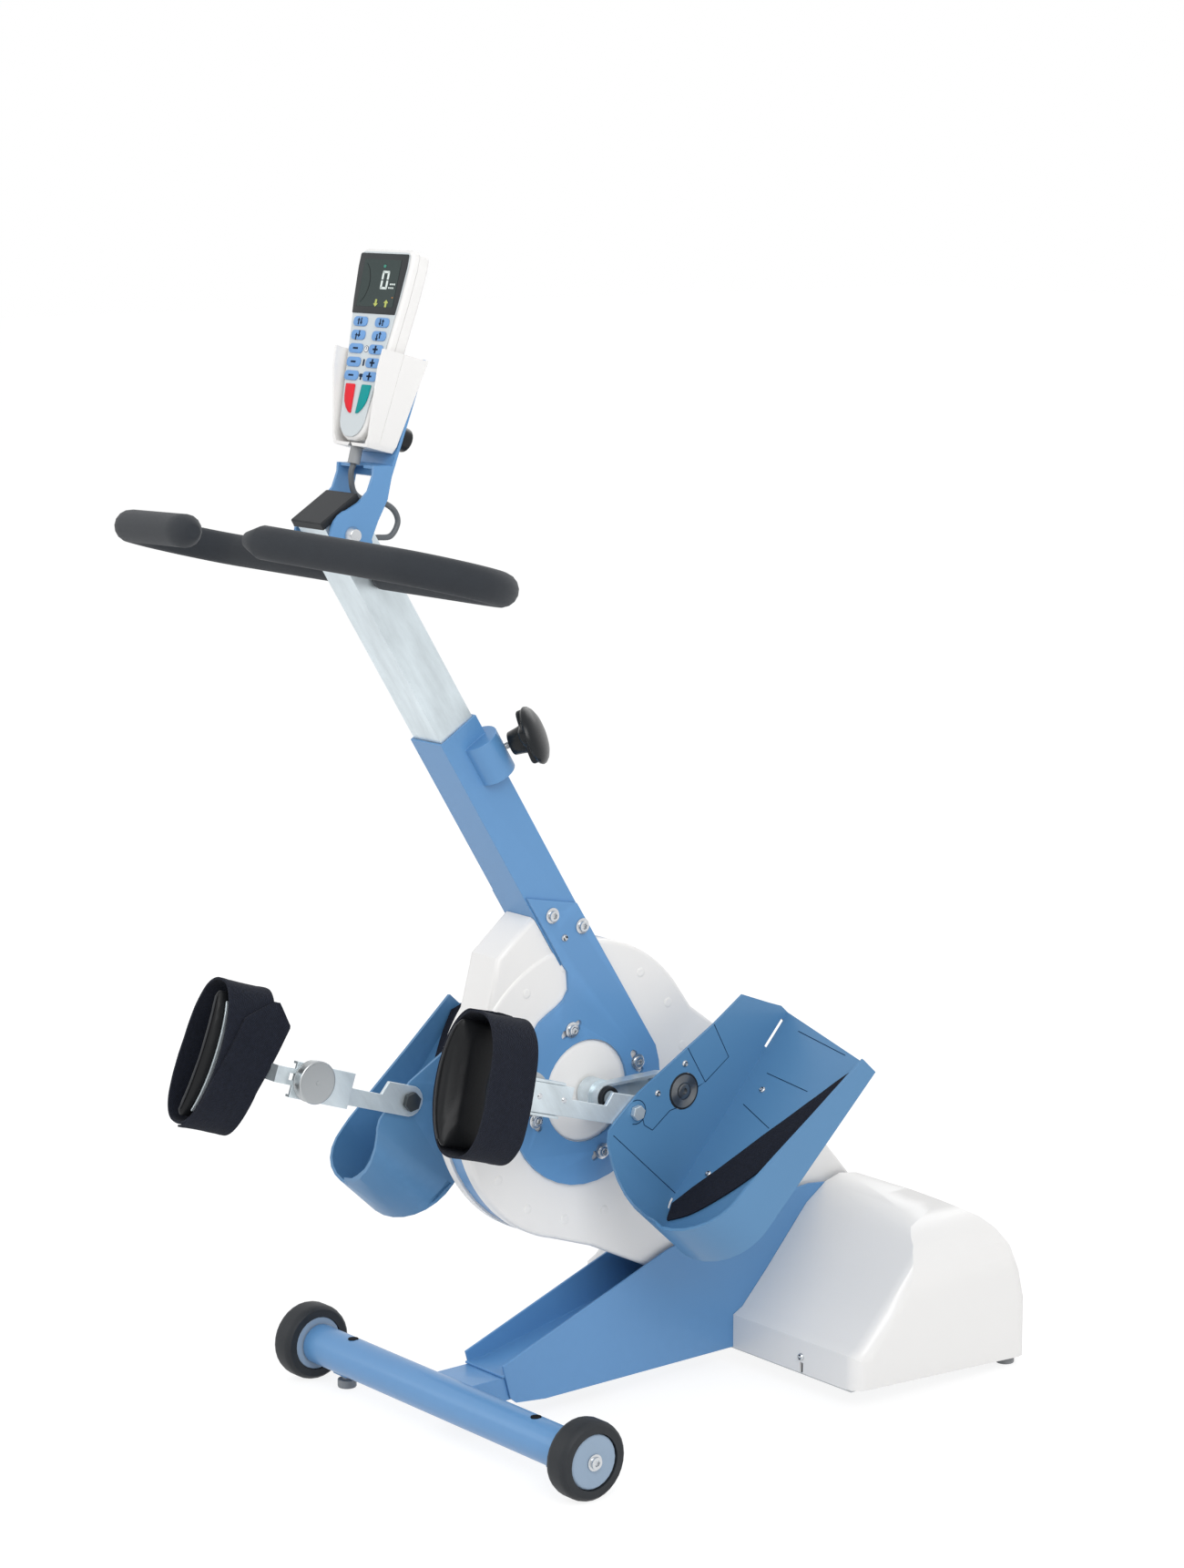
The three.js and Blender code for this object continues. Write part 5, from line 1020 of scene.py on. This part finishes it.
class TRAINER_OT_straps(TrainerOperator, bpy.types.Operator):
    """Foot straps, calf straps and calf pads"""

    bl_idname = "trainer.straps"
    bl_label = "Straps and pads"

    def build(self):
        for side, sign in SIDES:
            frame = cuff_frame(side, sign)
            self.pad(side, frame)
            for part, strap, body in (("calf", settle(self.calf(side), frame), "cuff"),
                                      ("foot", settle(self.foot(), foot_frame(side, sign)), "foot")):
                named(strap, f"{part}_strap_{side}_webbing", "Navy webbing", f"{body}_{side}")
                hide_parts(f"{part}_strap_{side}")

    def calf(self, side):
        """The strap round a cuff: a closed loop on the right, and two ends that cross on the left"""
        middle = CUFF_MIDDLE[side]
        across, up = CUFF_HALF[side]
        thick, half = 0.0018, 0.028
        inside = (across - thick - 0.0003, up - thick - 0.0003)
        if side == "right":
            loop = woven_band(oval(middle, *inside, 0, 360, 108)[:-1], middle, half, thick, closed=True)
            end = woven_band(oval(middle, *inside, 152, 92, 24), middle, half - 0.0006, thick * 0.8,
                             lift=thick + 0.0003, tip=0.006, seed=4.0)
            return merge([loop, end])

        def slant(share, still=0.45):
            return 0.030 * ((share - still) / (1 - still)) ** 1.3 if share > still else 0.0

        under = woven_band(oval(middle, *inside, 262, -98, 108), middle, half, thick)
        over = woven_band(oval(middle, *inside, 266, 118, 60), middle, half, thick, lift=thick + 0.0005,
                          skew=slant, tip=0.024, seed=9.0)
        return merge([under, over])

    def foot(self):
        """The strap that lies along the sole from the heel to the corner of the toe end"""
        millimetre = 0.001
        inner_edge = ((8, -12), (22, 11), (40, 38), (62, 73), (84, 107), (105, 139), (125, 170), (143, 193))
        outer_edge = ((14, -31), (40, -16), (68, 14), (91, 46), (112, 81), (128, 115), (142, 150), (148, 178))
        spans, columns, steps = len(inner_edge) - 1, 8, 49
        sections = []
        for step in range(steps + 1):
            spot = min(step * spans / steps, spans - 0.0001)
            index = int(spot)
            left, right = (on_curve(edge, index, spot - index) * millimetre
                           for edge in (inner_edge, outer_edge))
            outer, inner = [], []
            for column in range(columns + 1):
                place = left.lerp(right, column / columns)
                wave = noise.noise(Vector((place.x * 40, place.y * 40, 2))) * 0.0004
                hem = 0.0003 if column in (0, 1, columns - 1, columns) else 0
                over = 0.0045 * max(0.0, spot / spans - 0.7) / 0.3 * (column / columns)
                outer.append((place.x, place.y, 0.0022 + wave + hem + over))
                inner.append((place.x, place.y, 0.0004 + over))
            sections.append(outer + inner[::-1])
        band = from_sections(sections, "sole_band")
        smooth(band, 40)
        return band

    def pad(self, side, frame):
        """A filled pad inside the cuff's plate, with a seam along the middle of its rolled edge"""
        middle = CUFF_MIDDLE[side]
        across = middle - CUFF_SEAT[side] - 0.0023
        up = CUFF_HALF[side][1] - 0.0052
        lip = 0.0026 if side == "right" else 0.0023
        steps, ring = 44, 26
        sections, seam = [], []
        for step in range(steps + 1):
            share = step / steps
            angle = math.radians(180 + 74 - 148 * share)
            outer = Vector((middle + across * math.cos(angle), up * math.sin(angle)))
            inward = Vector((-math.cos(angle) / across, -math.sin(angle) / up)).normalized()
            swell = math.sin(math.pi * (share * 0.96 + 0.02)) ** 0.5
            thick = 0.0225 * swell
            half = 0.0325 * (0.86 + 0.14 * swell)
            section = []
            for turn in range(ring):
                round_angle = 2 * math.pi * turn / ring
                deep, wide = (math.copysign(abs(value) ** 0.72, value)
                              for value in (math.cos(round_angle), math.sin(round_angle)))
                y = -0.0055 + half * wide
                rolled = lip * min(1.0, max(0.0, (-0.0290 - y) / 0.0035)) * (1 - deep) / 2
                place = outer + inward * (thick * (0.5 + 0.5 * deep) - rolled)
                section.append((place.x, y, place.y))
            sections.append(section)
            place = outer + inward * thick * 0.30
            seam.append((place.x, -0.0055 - half - 0.0006, place.y))
        form = plump(from_sections(sections, "pad"), 0.0022)
        bead = tube_along(seam[4:-4], 0.0009, 8)
        named(settle(form, frame), f"calf_pad_{side}_cover", "Pad cover", f"cuff_{side}")
        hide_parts(f"calf_pad_{side}")
        named(settle(bead, frame), f"calf_pad_{side}_seam", "Pad stitching", f"cuff_{side}")


class TRAINER_OT_mast(TrainerOperator, bpy.types.Operator):
    """Column, sliding mast, its cap and the clamping knob"""

    bl_idname = "trainer.mast"
    bl_label = "Column and mast"

    def build(self):
        dress("outer_tube", "Blue enamel", width=0.0022, segments=3)
        dress("inner_tube", "Galvanised zinc", width=0.0018, segments=3)
        dress("tube_cap", "Black plastic", width=0.0016, segments=3)
        self.knob()

    def knob(self):
        """A lobed knob under a domed cap, on a neck and a threaded stud"""
        lobes = sizes().lobes
        outline = []
        for index in range(lobes * 16):
            angle = 2 * math.pi * index / (lobes * 16)
            radius = 0.0243 + 0.0042 * math.cos(angle * lobes)
            outline.append((radius * math.cos(angle), radius * math.sin(angle)))
        star = add_plate(outline, 0.0085)
        round_edges(star, 0.0026, 4, 50)
        cap = turned_form([(0, 0.0052), (0.0262, 0.0052), (0.0288, 0.0062), (0.0299, 0.0082),
                           (0.0292, 0.0106), (0.0262, 0.0134), (0.0212, 0.0158), (0.0140, 0.0176),
                           (0.0070, 0.0184), (0, 0.0186)], 64)
        neck = turned_form([(0, -0.0158), (0.0112, -0.0158), (0.0120, -0.0150), (0.0134, -0.0060),
                            (0.0150, 0.0004), (0.0150, 0.0020), (0, 0.0020)], 48)
        thread = [(0, -KNOB_REACH)]
        for ridge in range(30):
            height = -KNOB_REACH + 0.0008 * ridge
            thread += [(0.0036, height), (0.0032, height + 0.0004)]
        thread += [(0.0032, -0.0152), (0, -0.0152)]
        stud = turned_form(thread, 24)
        diagonal = Vector((1, 1, 0)).normalized()
        turn = diagonal.to_track_quat("Z", "Y").to_matrix().to_4x4()
        place = COLUMN @ shift(*(Vector((0.0209, 0.0459, -0.044)) + diagonal * KNOB_REACH)) @ turn
        knob = settle(merge([star, cap, neck]), place)
        named(knob, "knob_star", "Polished black", "star_knob")
        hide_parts("clamp_knob")
        named(settle(stud, place), "knob_stud", "Bright steel", "star_knob")


class TRAINER_OT_handlebar(TrainerOperator, bpy.types.Operator):
    """Steel handlebar and its foam grips"""

    bl_idname = "trainer.handlebar"
    bl_label = "Handlebar"

    def build(self):
        dress("handlebar", "Bright steel", width=0.0)
        bar_tilt = math.radians(-15.1)
        plane = shift(0, BAR_Y - 0.0821, 0.8819) @ turned(bar_tilt, "X")
        for side, sign in SIDES:
            line = [plane @ Vector(point) for point in self.line(sign)]
            grip = tube_along(line, sizes().grip, 28)
            self.round_ends(grip, line)
            named(grip, f"grip_{side}_foam", "Grip foam", "mast")
            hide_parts(f"grip_{side}")

    def line(self, sign):
        """The middle line of one grip: out along the rear bar, round the bend and back along the front bar"""
        rear_slope, front_slope = 0.041, 0.252
        start_x, straight_x, outer_x, end_of_grip = 0.0252, 0.034, 0.197, 0.0452
        bend_radius, bend_span = 0.063, 0.1718
        rear, front = math.atan(rear_slope), math.atan(front_slope)
        points = [(start_x, 0), (0.0256, 0), (0.0275, 0), (straight_x, 0.0004)]
        for step in range(1, 12):
            x = straight_x + (outer_x - straight_x) * step / 12
            points.append((x, (x - start_x) * rear_slope))
        bend_x = outer_x - bend_radius * math.sin(rear)
        bend_y = bend_span * rear_slope + bend_radius * math.cos(rear)
        for step in range(33):
            angle = rear + (math.pi - front - rear) * step / 32
            points.append((bend_x + bend_radius * math.sin(angle), bend_y - bend_radius * math.cos(angle)))
        end_x, end_y = points[-1]
        for step in range(1, 10):
            x = end_x + (end_of_grip - end_x) * step / 9
            points.append((x, end_y + (end_x - x) * front_slope))
        last_x, last_y = points[-1]
        for extra in (0.0006, 0.0012):
            points.append((last_x - extra, last_y + extra * front_slope))
        return [(sign * x, -y, 0) for x, y in points]

    def round_ends(self, grip, line):
        """Draws the tube's last rings in, so that its ends are round"""
        for end, inner, reach in ((line[0], line[3], 0.003), (line[-1], line[-4], 0.0135)):
            along = (end - inner).normalized()
            for vertex in grip.data.vertices:
                depth = (vertex.co - end).dot(along)
                if depth > -reach and (vertex.co - end).length < 0.03:
                    axis = end + along * depth
                    share = min(1.0, max(0.0, (depth + reach) / reach))
                    scale = math.sqrt(max(0.0, 1 - share * share * 0.93))
                    vertex.co = axis + (vertex.co - axis) * scale
        grip.data.update()


class TRAINER_OT_head(TrainerOperator, bpy.types.Operator):
    """Bracket, holder, knob and handset cable"""

    bl_idname = "trainer.head"
    bl_label = "Head"

    def build(self):
        dress("handset_bracket", "Blue enamel", width=0.0007)
        dress("bracket_bolt", "Bright steel", width=0.0006)
        dress("holder_knob", "Polished black", width=0.003, segments=4)
        lean = turned(math.atan2(0.0105, 0.088), "Y")
        folds = [settle(add_box((-0.0005, 0.0139, 0.0), (0.0030, 0.0145, 0.095)),
                        HEAD @ mirror_for(sign) @ shift(0.029, 0, 0) @ lean) for _, sign in SIDES]
        dress("handset_holder", "White casing", width=0.0012, segments=3, cutters=folds)
        dress("handset_plug", "Grey plastic", width=0.0006)
        self.cable()

    def cable(self):
        """The lead from the plug, in a loop behind the bracket, to the top of the mast"""
        lobe = 0.025
        start = HEAD @ Vector((0, 0.0105, -0.0203))
        entry = COLUMN @ Vector((0, 0.0503, 0.205))
        loop = ((0.95, 1.5), (1.45, 1.15), (2.2, 1.04), (2.8, 0.7), (3, 0.2), (2.65, -0.3))
        route = [start, start + Vector((0, -0.003, -0.009))]
        route += [PIVOT + Vector((0, lobe * back, lobe * up)) for back, up in loop]
        route += [entry + Vector((0, 0.0081, 0.003)), entry]
        line = smooth_line(route)
        cable = tube_along(line, LEAD_RADIUS)
        named(cable, "handset_lead", "Cable jacket", "head")
        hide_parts("handset_cable")


class TRAINER_OT_handset(TrainerOperator, bpy.types.Operator):
    """Handset with its display and keys"""

    bl_idname = "trainer.handset"
    bl_label = "Handset"

    def build(self):
        body = dress("handset_body", "White casing", width=0.0038, segments=4)
        dress("handset_face", "Handset panel", width=0.0004)
        half = [(0.0370, 0.1796), (0.0382, 0.1784), (0.0384, 0.1666), (0.0357, 0.135), (0.0339, 0.1217)]
        self.plate("display_surround", half[:1] + [(-x, y) for x, y in half] + half[:0:-1], 0.0006,
                   "Display surround", 0.0003)
        self.plate("display_glass", [(0.0285, 0.1738), (-0.0295, 0.1738), (-0.0288, 0.1284), (0.0285, 0.1284)],
                   0.0004, "Display glass", base=KEYPAD_LEVEL + 0.0005)
        angles = [math.radians(turn) for turn in range(-78, 79, 12)]
        bow = [(-0.0250 + 0.0105 * math.cos(angle) ** 1.5, 0.1508 + 0.019 * math.sin(angle)) for angle in angles]
        self.plate("display_bow", bow[::-1] + [(x - 0.0009, y) for x, y in bow], 0.0001, "Display edge",
                   base=KEYPAD_LEVEL + 0.0009)
        self.figures()
        self.keys()
        cut_with(body, settle(add_box((-0.06, 0.0078, -0.03), (0.06, 0.0082, 0.20)), HEAD))

    def plate(self, name, outline, thickness, finish_name, edge=0.0, base=KEYPAD_LEVEL):
        """A raised form on the handset's face"""
        front = HEAD @ turned(math.pi / 2, "X") @ shift(0, 0, base)
        return named(settle(add_plate(outline, thickness, edge), front), name, finish_name, "head")

    def figures(self):
        """What the display shows: a large 0, plain bars, two arrows, a lamp and a tick"""
        base = KEYPAD_LEVEL + 0.0010
        wide, tall = 0.0029, 0.0022
        left, right, low, middle, high = 0.0030, 0.0142, 0.1454, 0.1542, 0.1630
        flat = (left + 0.0006, right - 0.0006)
        lower, upper = (low + 0.0008, middle - 0.0005), (middle + 0.0005, high - 0.0008)
        bars = [(*flat, high - tall, high), (*flat, low, low + tall)]
        bars += [(*across, *span) for across in ((left, left + wide), (right - wide, right))
                 for span in (lower, upper)]
        for index in range(3):
            x = 0.0162 + index * 0.0030
            bars += [(x + 0.0016, x + 0.0036, 0.1496, 0.1512), (x, x + 0.0020, 0.1462, 0.1476)]
        for number, (x0, x1, y0, y1) in enumerate(bars):
            self.plate(f"display_digit_{number}", [(x0, y0), (x1, y0), (x1, y1), (x0, y1)], PRINT_DEPTH,
                       "Display figures", base=base)
        for number, (x, upwards) in enumerate(((0.0012, -1), (0.0172, 1))):
            outline = self.arrow(x, 0.1320, upwards, 0.0036, 0.0014, 0.0036, 0.0004)
            self.plate(f"display_arrow_{number}", outline, PRINT_DEPTH, "Display arrows", base=base)
        self.plate("display_lamp", rounded(0.0020, 0.0014, 0.0013, (0.0045, 0.1674)), PRINT_DEPTH,
                   "Display lamp", base=base)
        self.plate("display_tick", rounded(0.0010, 0.0006, 0.0003, (0.0255, 0.1378), 1), PRINT_DEPTH,
                   "Display tick", base=base)

    def arrow(self, x, y, upwards, half, stem=0.0009, head=0.0024, neck=0.00068):
        """An arrow up or down: half its length, half the widths of stem and head, and the head's start"""
        outline = [(-stem, -half), (stem, -half), (stem, neck), (head, neck), (0, half), (-head, neck),
                   (-stem, neck)]
        return [(x + across, y + up * upwards) for across, up in outline][::upwards]

    def keys(self):
        """Five rows of blue keys with plain marks, and the red and the green key"""
        top = KEYPAD_LEVEL + KEY_HEIGHT

        def mark(name, outline, base=KEYPAD_LEVEL, depth=PRINT_DEPTH, finish_name="Key mark"):
            self.plate(name, outline, depth, finish_name, base=base)

        for row in range(5):
            y = 0.1138 - row * sizes().key_gap
            for column, sign in (("left", -1), ("right", 1)):
                x = sign * (0.0171 - row * 0.00065)
                first, second = f"mark_{row}_{column}", f"mark_{row}_{column}_up"
                self.plate(f"key_{row}_{column}", rounded(0.0108, 0.0046, 0.0040, (x, y)), KEY_HEIGHT,
                           "Blue key", 0.0005)
                if row < 2:
                    slant = 0.0 if row == 0 else 0.0016
                    mark(first, self.arrow(x - 0.0022, y - slant, -sign, 0.0034), top)
                    mark(second, self.arrow(x + 0.0020, y + slant / 2, sign, 0.0034), top)
                    continue
                mark(first, rounded(0.0040, 0.0009, 0.0002, (x, y), 1), top)
                if sign > 0:
                    mark(second, rounded(0.0013, 0.0037, 0.0002, (x, y), 1), top)
            if row == 2:
                mark("keypad_ring_edge", rounded(0.0034, 0.0032, 0.0030, (0, y)), depth=0.0001)
                mark("keypad_ring", rounded(0.0028, 0.0027, 0.0025, (0, y)), depth=0.00018,
                     finish_name="Keypad ring")
                mark("keypad_ring_hand", rounded(0.0004, 0.0013, 0.0001, (0, y + 0.0006), 1), depth=0.00026)
            elif row == 3:
                mark("keypad_mark_upright", rounded(0.0014, 0.0034, 0.0012, (0, y)), depth=0.0001)
            elif row == 4:
                mark("keypad_mark_round", rounded(0.0030, 0.0016, 0.0014, (0, y + 0.0006)), depth=0.0001)
                mark("keypad_mark_low", rounded(0.0012, 0.0030, 0.0006, (0, y - 0.0008), 2), depth=0.00014)
        for name, sign, finish_name in (("key_red", -1, "Red key"), ("key_green", 1, "Green key")):
            outline = [(sign * x, y) for x, y in (
                (0.0054, 0.0530), (0.0064, 0.0540), (0.0192, 0.0540), (0.0200, 0.0530), (0.0186, 0.0420),
                (0.0170, 0.0370), (0.0130, 0.0312), (0.0078, 0.0268), (0.0044, 0.0260), (0.0038, 0.0268))]
            self.plate(name, outline[::-sign], KEY_HEIGHT, finish_name, 0.0005)


class TRAINER_OT_studio(TrainerOperator, bpy.types.Operator):
    """Floor, lamps, world and camera"""

    bl_idname = "trainer.studio"
    bl_label = "Studio"

    def build(self):
        self.camera()
        self.floor()
        self.world()
        self.lamps()
        bpy.context.scene.view_settings.view_transform = "Standard"

    def camera(self):
        """A camera that stands and looks as the photo's does"""
        camera = bpy.data.cameras.new("studio_camera")
        camera.sensor_width = 36
        camera.lens = camera.sensor_width * 4028 / 1722
        camera.clip_end = 60
        eye = linked(bpy.data.objects.new("studio_camera", camera))
        right = Vector((0.6351, 0.7724, 0)).normalized()
        ahead = Vector((-0.7605, 0.6253, -0.1749)).normalized()
        turn = Matrix((right, right.cross(ahead), -ahead)).transposed().to_4x4()
        eye.matrix_world = shift(2.821, BAR_Y - 2.124, 1.293) @ turn
        bpy.context.scene.camera = eye

    def any_ray(self, tree, *kinds):
        """1 for a ray of one of the given kinds, else 0"""
        rays = add_node(tree, "ShaderNodeLightPath").outputs
        found = rays[f"Is {kinds[0]} Ray"]
        for kind in kinds[1:]:
            found = maths(tree, "MAXIMUM", found, rays[f"Is {kind} Ray"])
        return found

    def floor(self):
        """A floor that takes the shadow, and that the camera sees as near white"""
        bpy.ops.object.select_all(action="DESELECT")
        bpy.ops.mesh.primitive_plane_add(size=40, location=(0, 0, -0.0002))
        floor = bpy.context.active_object
        floor.name = "studio_floor"
        material = bpy.data.materials.new("Studio floor")
        material.use_nodes = True
        tree = material.node_tree
        shader = tree.nodes["Principled BSDF"]
        for socket, value in (("Base Color", (0.86, 0.86, 0.86, 1)), ("Roughness", 0.9),
                              ("Specular IOR Level", 0.0)):
            shader.inputs[socket].default_value = value
        glow = add_node(tree, "ShaderNodeEmission", {"Strength": FLOOR_GLOW})
        amount = maths(tree, "MULTIPLY", self.any_ray(tree, "Camera", "Glossy"), 0.72)
        mix = add_node(tree, "ShaderNodeMixShader",
                       {"Fac": amount, 1: shader.outputs["BSDF"], 2: glow.outputs["Emission"]})
        tree.links.new(mix.outputs["Shader"], tree.nodes["Material Output"].inputs["Surface"])
        floor.data.materials.append(material)

    def world(self):
        """A soft light from all sides, which the camera and mirrored rays see as white"""
        world = bpy.data.worlds.new("studio_world")
        bpy.context.scene.world = world
        world.use_nodes = True
        tree = world.node_tree
        lit = tree.nodes["Background"]
        lit.inputs["Color"].default_value = (0.985, 0.99, 1.0, 1)
        lit.inputs["Strength"].default_value = 0.68
        seen = add_node(tree, "ShaderNodeBackground", {"Color": (1, 1, 1, 1), "Strength": 1.0})
        mix = add_node(tree, "ShaderNodeMixShader", {
            "Fac": self.any_ray(tree, "Camera", "Transmission", "Glossy"),
            1: lit.outputs["Background"], 2: seen.outputs["Background"]})
        tree.links.new(mix.outputs["Shader"], tree.nodes["World Output"].inputs["Surface"])

    def lamps(self):
        """Three soft area lamps that face the middle of the trainer"""
        for name, place, size, power in (
            ("key_lamp", (3.2, -1.6, 3.0), 2.4, 86),
            ("fill_lamp", (-2.2, -3.2, 2.4), 3.0, 34),
            ("rear_lamp", (-1.5, 3.0, 2.8), 2.5, 26),
        ):
            data = bpy.data.lights.new(name, "AREA")
            data.size = size
            data.energy = power
            lamp = linked(bpy.data.objects.new(name, data))
            lamp.location = place
            lamp.rotation_euler = (Vector((0, 0, 0.5)) - Vector(place)).to_track_quat("-Z", "Y").to_euler()


OPERATORS = (
    TRAINER_OT_studio, TRAINER_OT_head, TRAINER_OT_frame, TRAINER_OT_wheels, TRAINER_OT_housing,
    TRAINER_OT_plates, TRAINER_OT_drive, TRAINER_OT_foot_shells, TRAINER_OT_guides, TRAINER_OT_straps,
    TRAINER_OT_mast, TRAINER_OT_handlebar, TRAINER_OT_handset,
)


class TRAINER_PT_panel(bpy.types.Panel):
    """Steps that dress the leg trainer"""

    bl_label = "Leg trainer"
    bl_idname = "TRAINER_PT_panel"
    bl_space_type = "VIEW_3D"
    bl_region_type = "UI"
    bl_category = "Leg trainer"

    def draw(self, context):
        for operator in OPERATORS:
            self.layout.operator(operator.bl_idname)
        for group in (context.scene.trainer_colours, context.scene.trainer_sizes):
            for key in group.__annotations__:
                self.layout.prop(group, key)


CLASSES = (TrainerColours, TrainerSizes, *OPERATORS, TRAINER_PT_panel)


def register():
    for cls in CLASSES:
        bpy.utils.register_class(cls)
    bpy.types.Scene.trainer_colours = PointerProperty(type=TrainerColours)
    bpy.types.Scene.trainer_sizes = PointerProperty(type=TrainerSizes)


def unregister():
    del bpy.types.Scene.trainer_sizes
    del bpy.types.Scene.trainer_colours
    for cls in reversed(CLASSES):
        bpy.utils.unregister_class(cls)


def main():
    register()
    surface_group()
    weave_group()
    for operator in OPERATORS:
        group, name = operator.bl_idname.split(".")
        getattr(getattr(bpy.ops, group), name)()


if __name__ == "__main__":
    main()
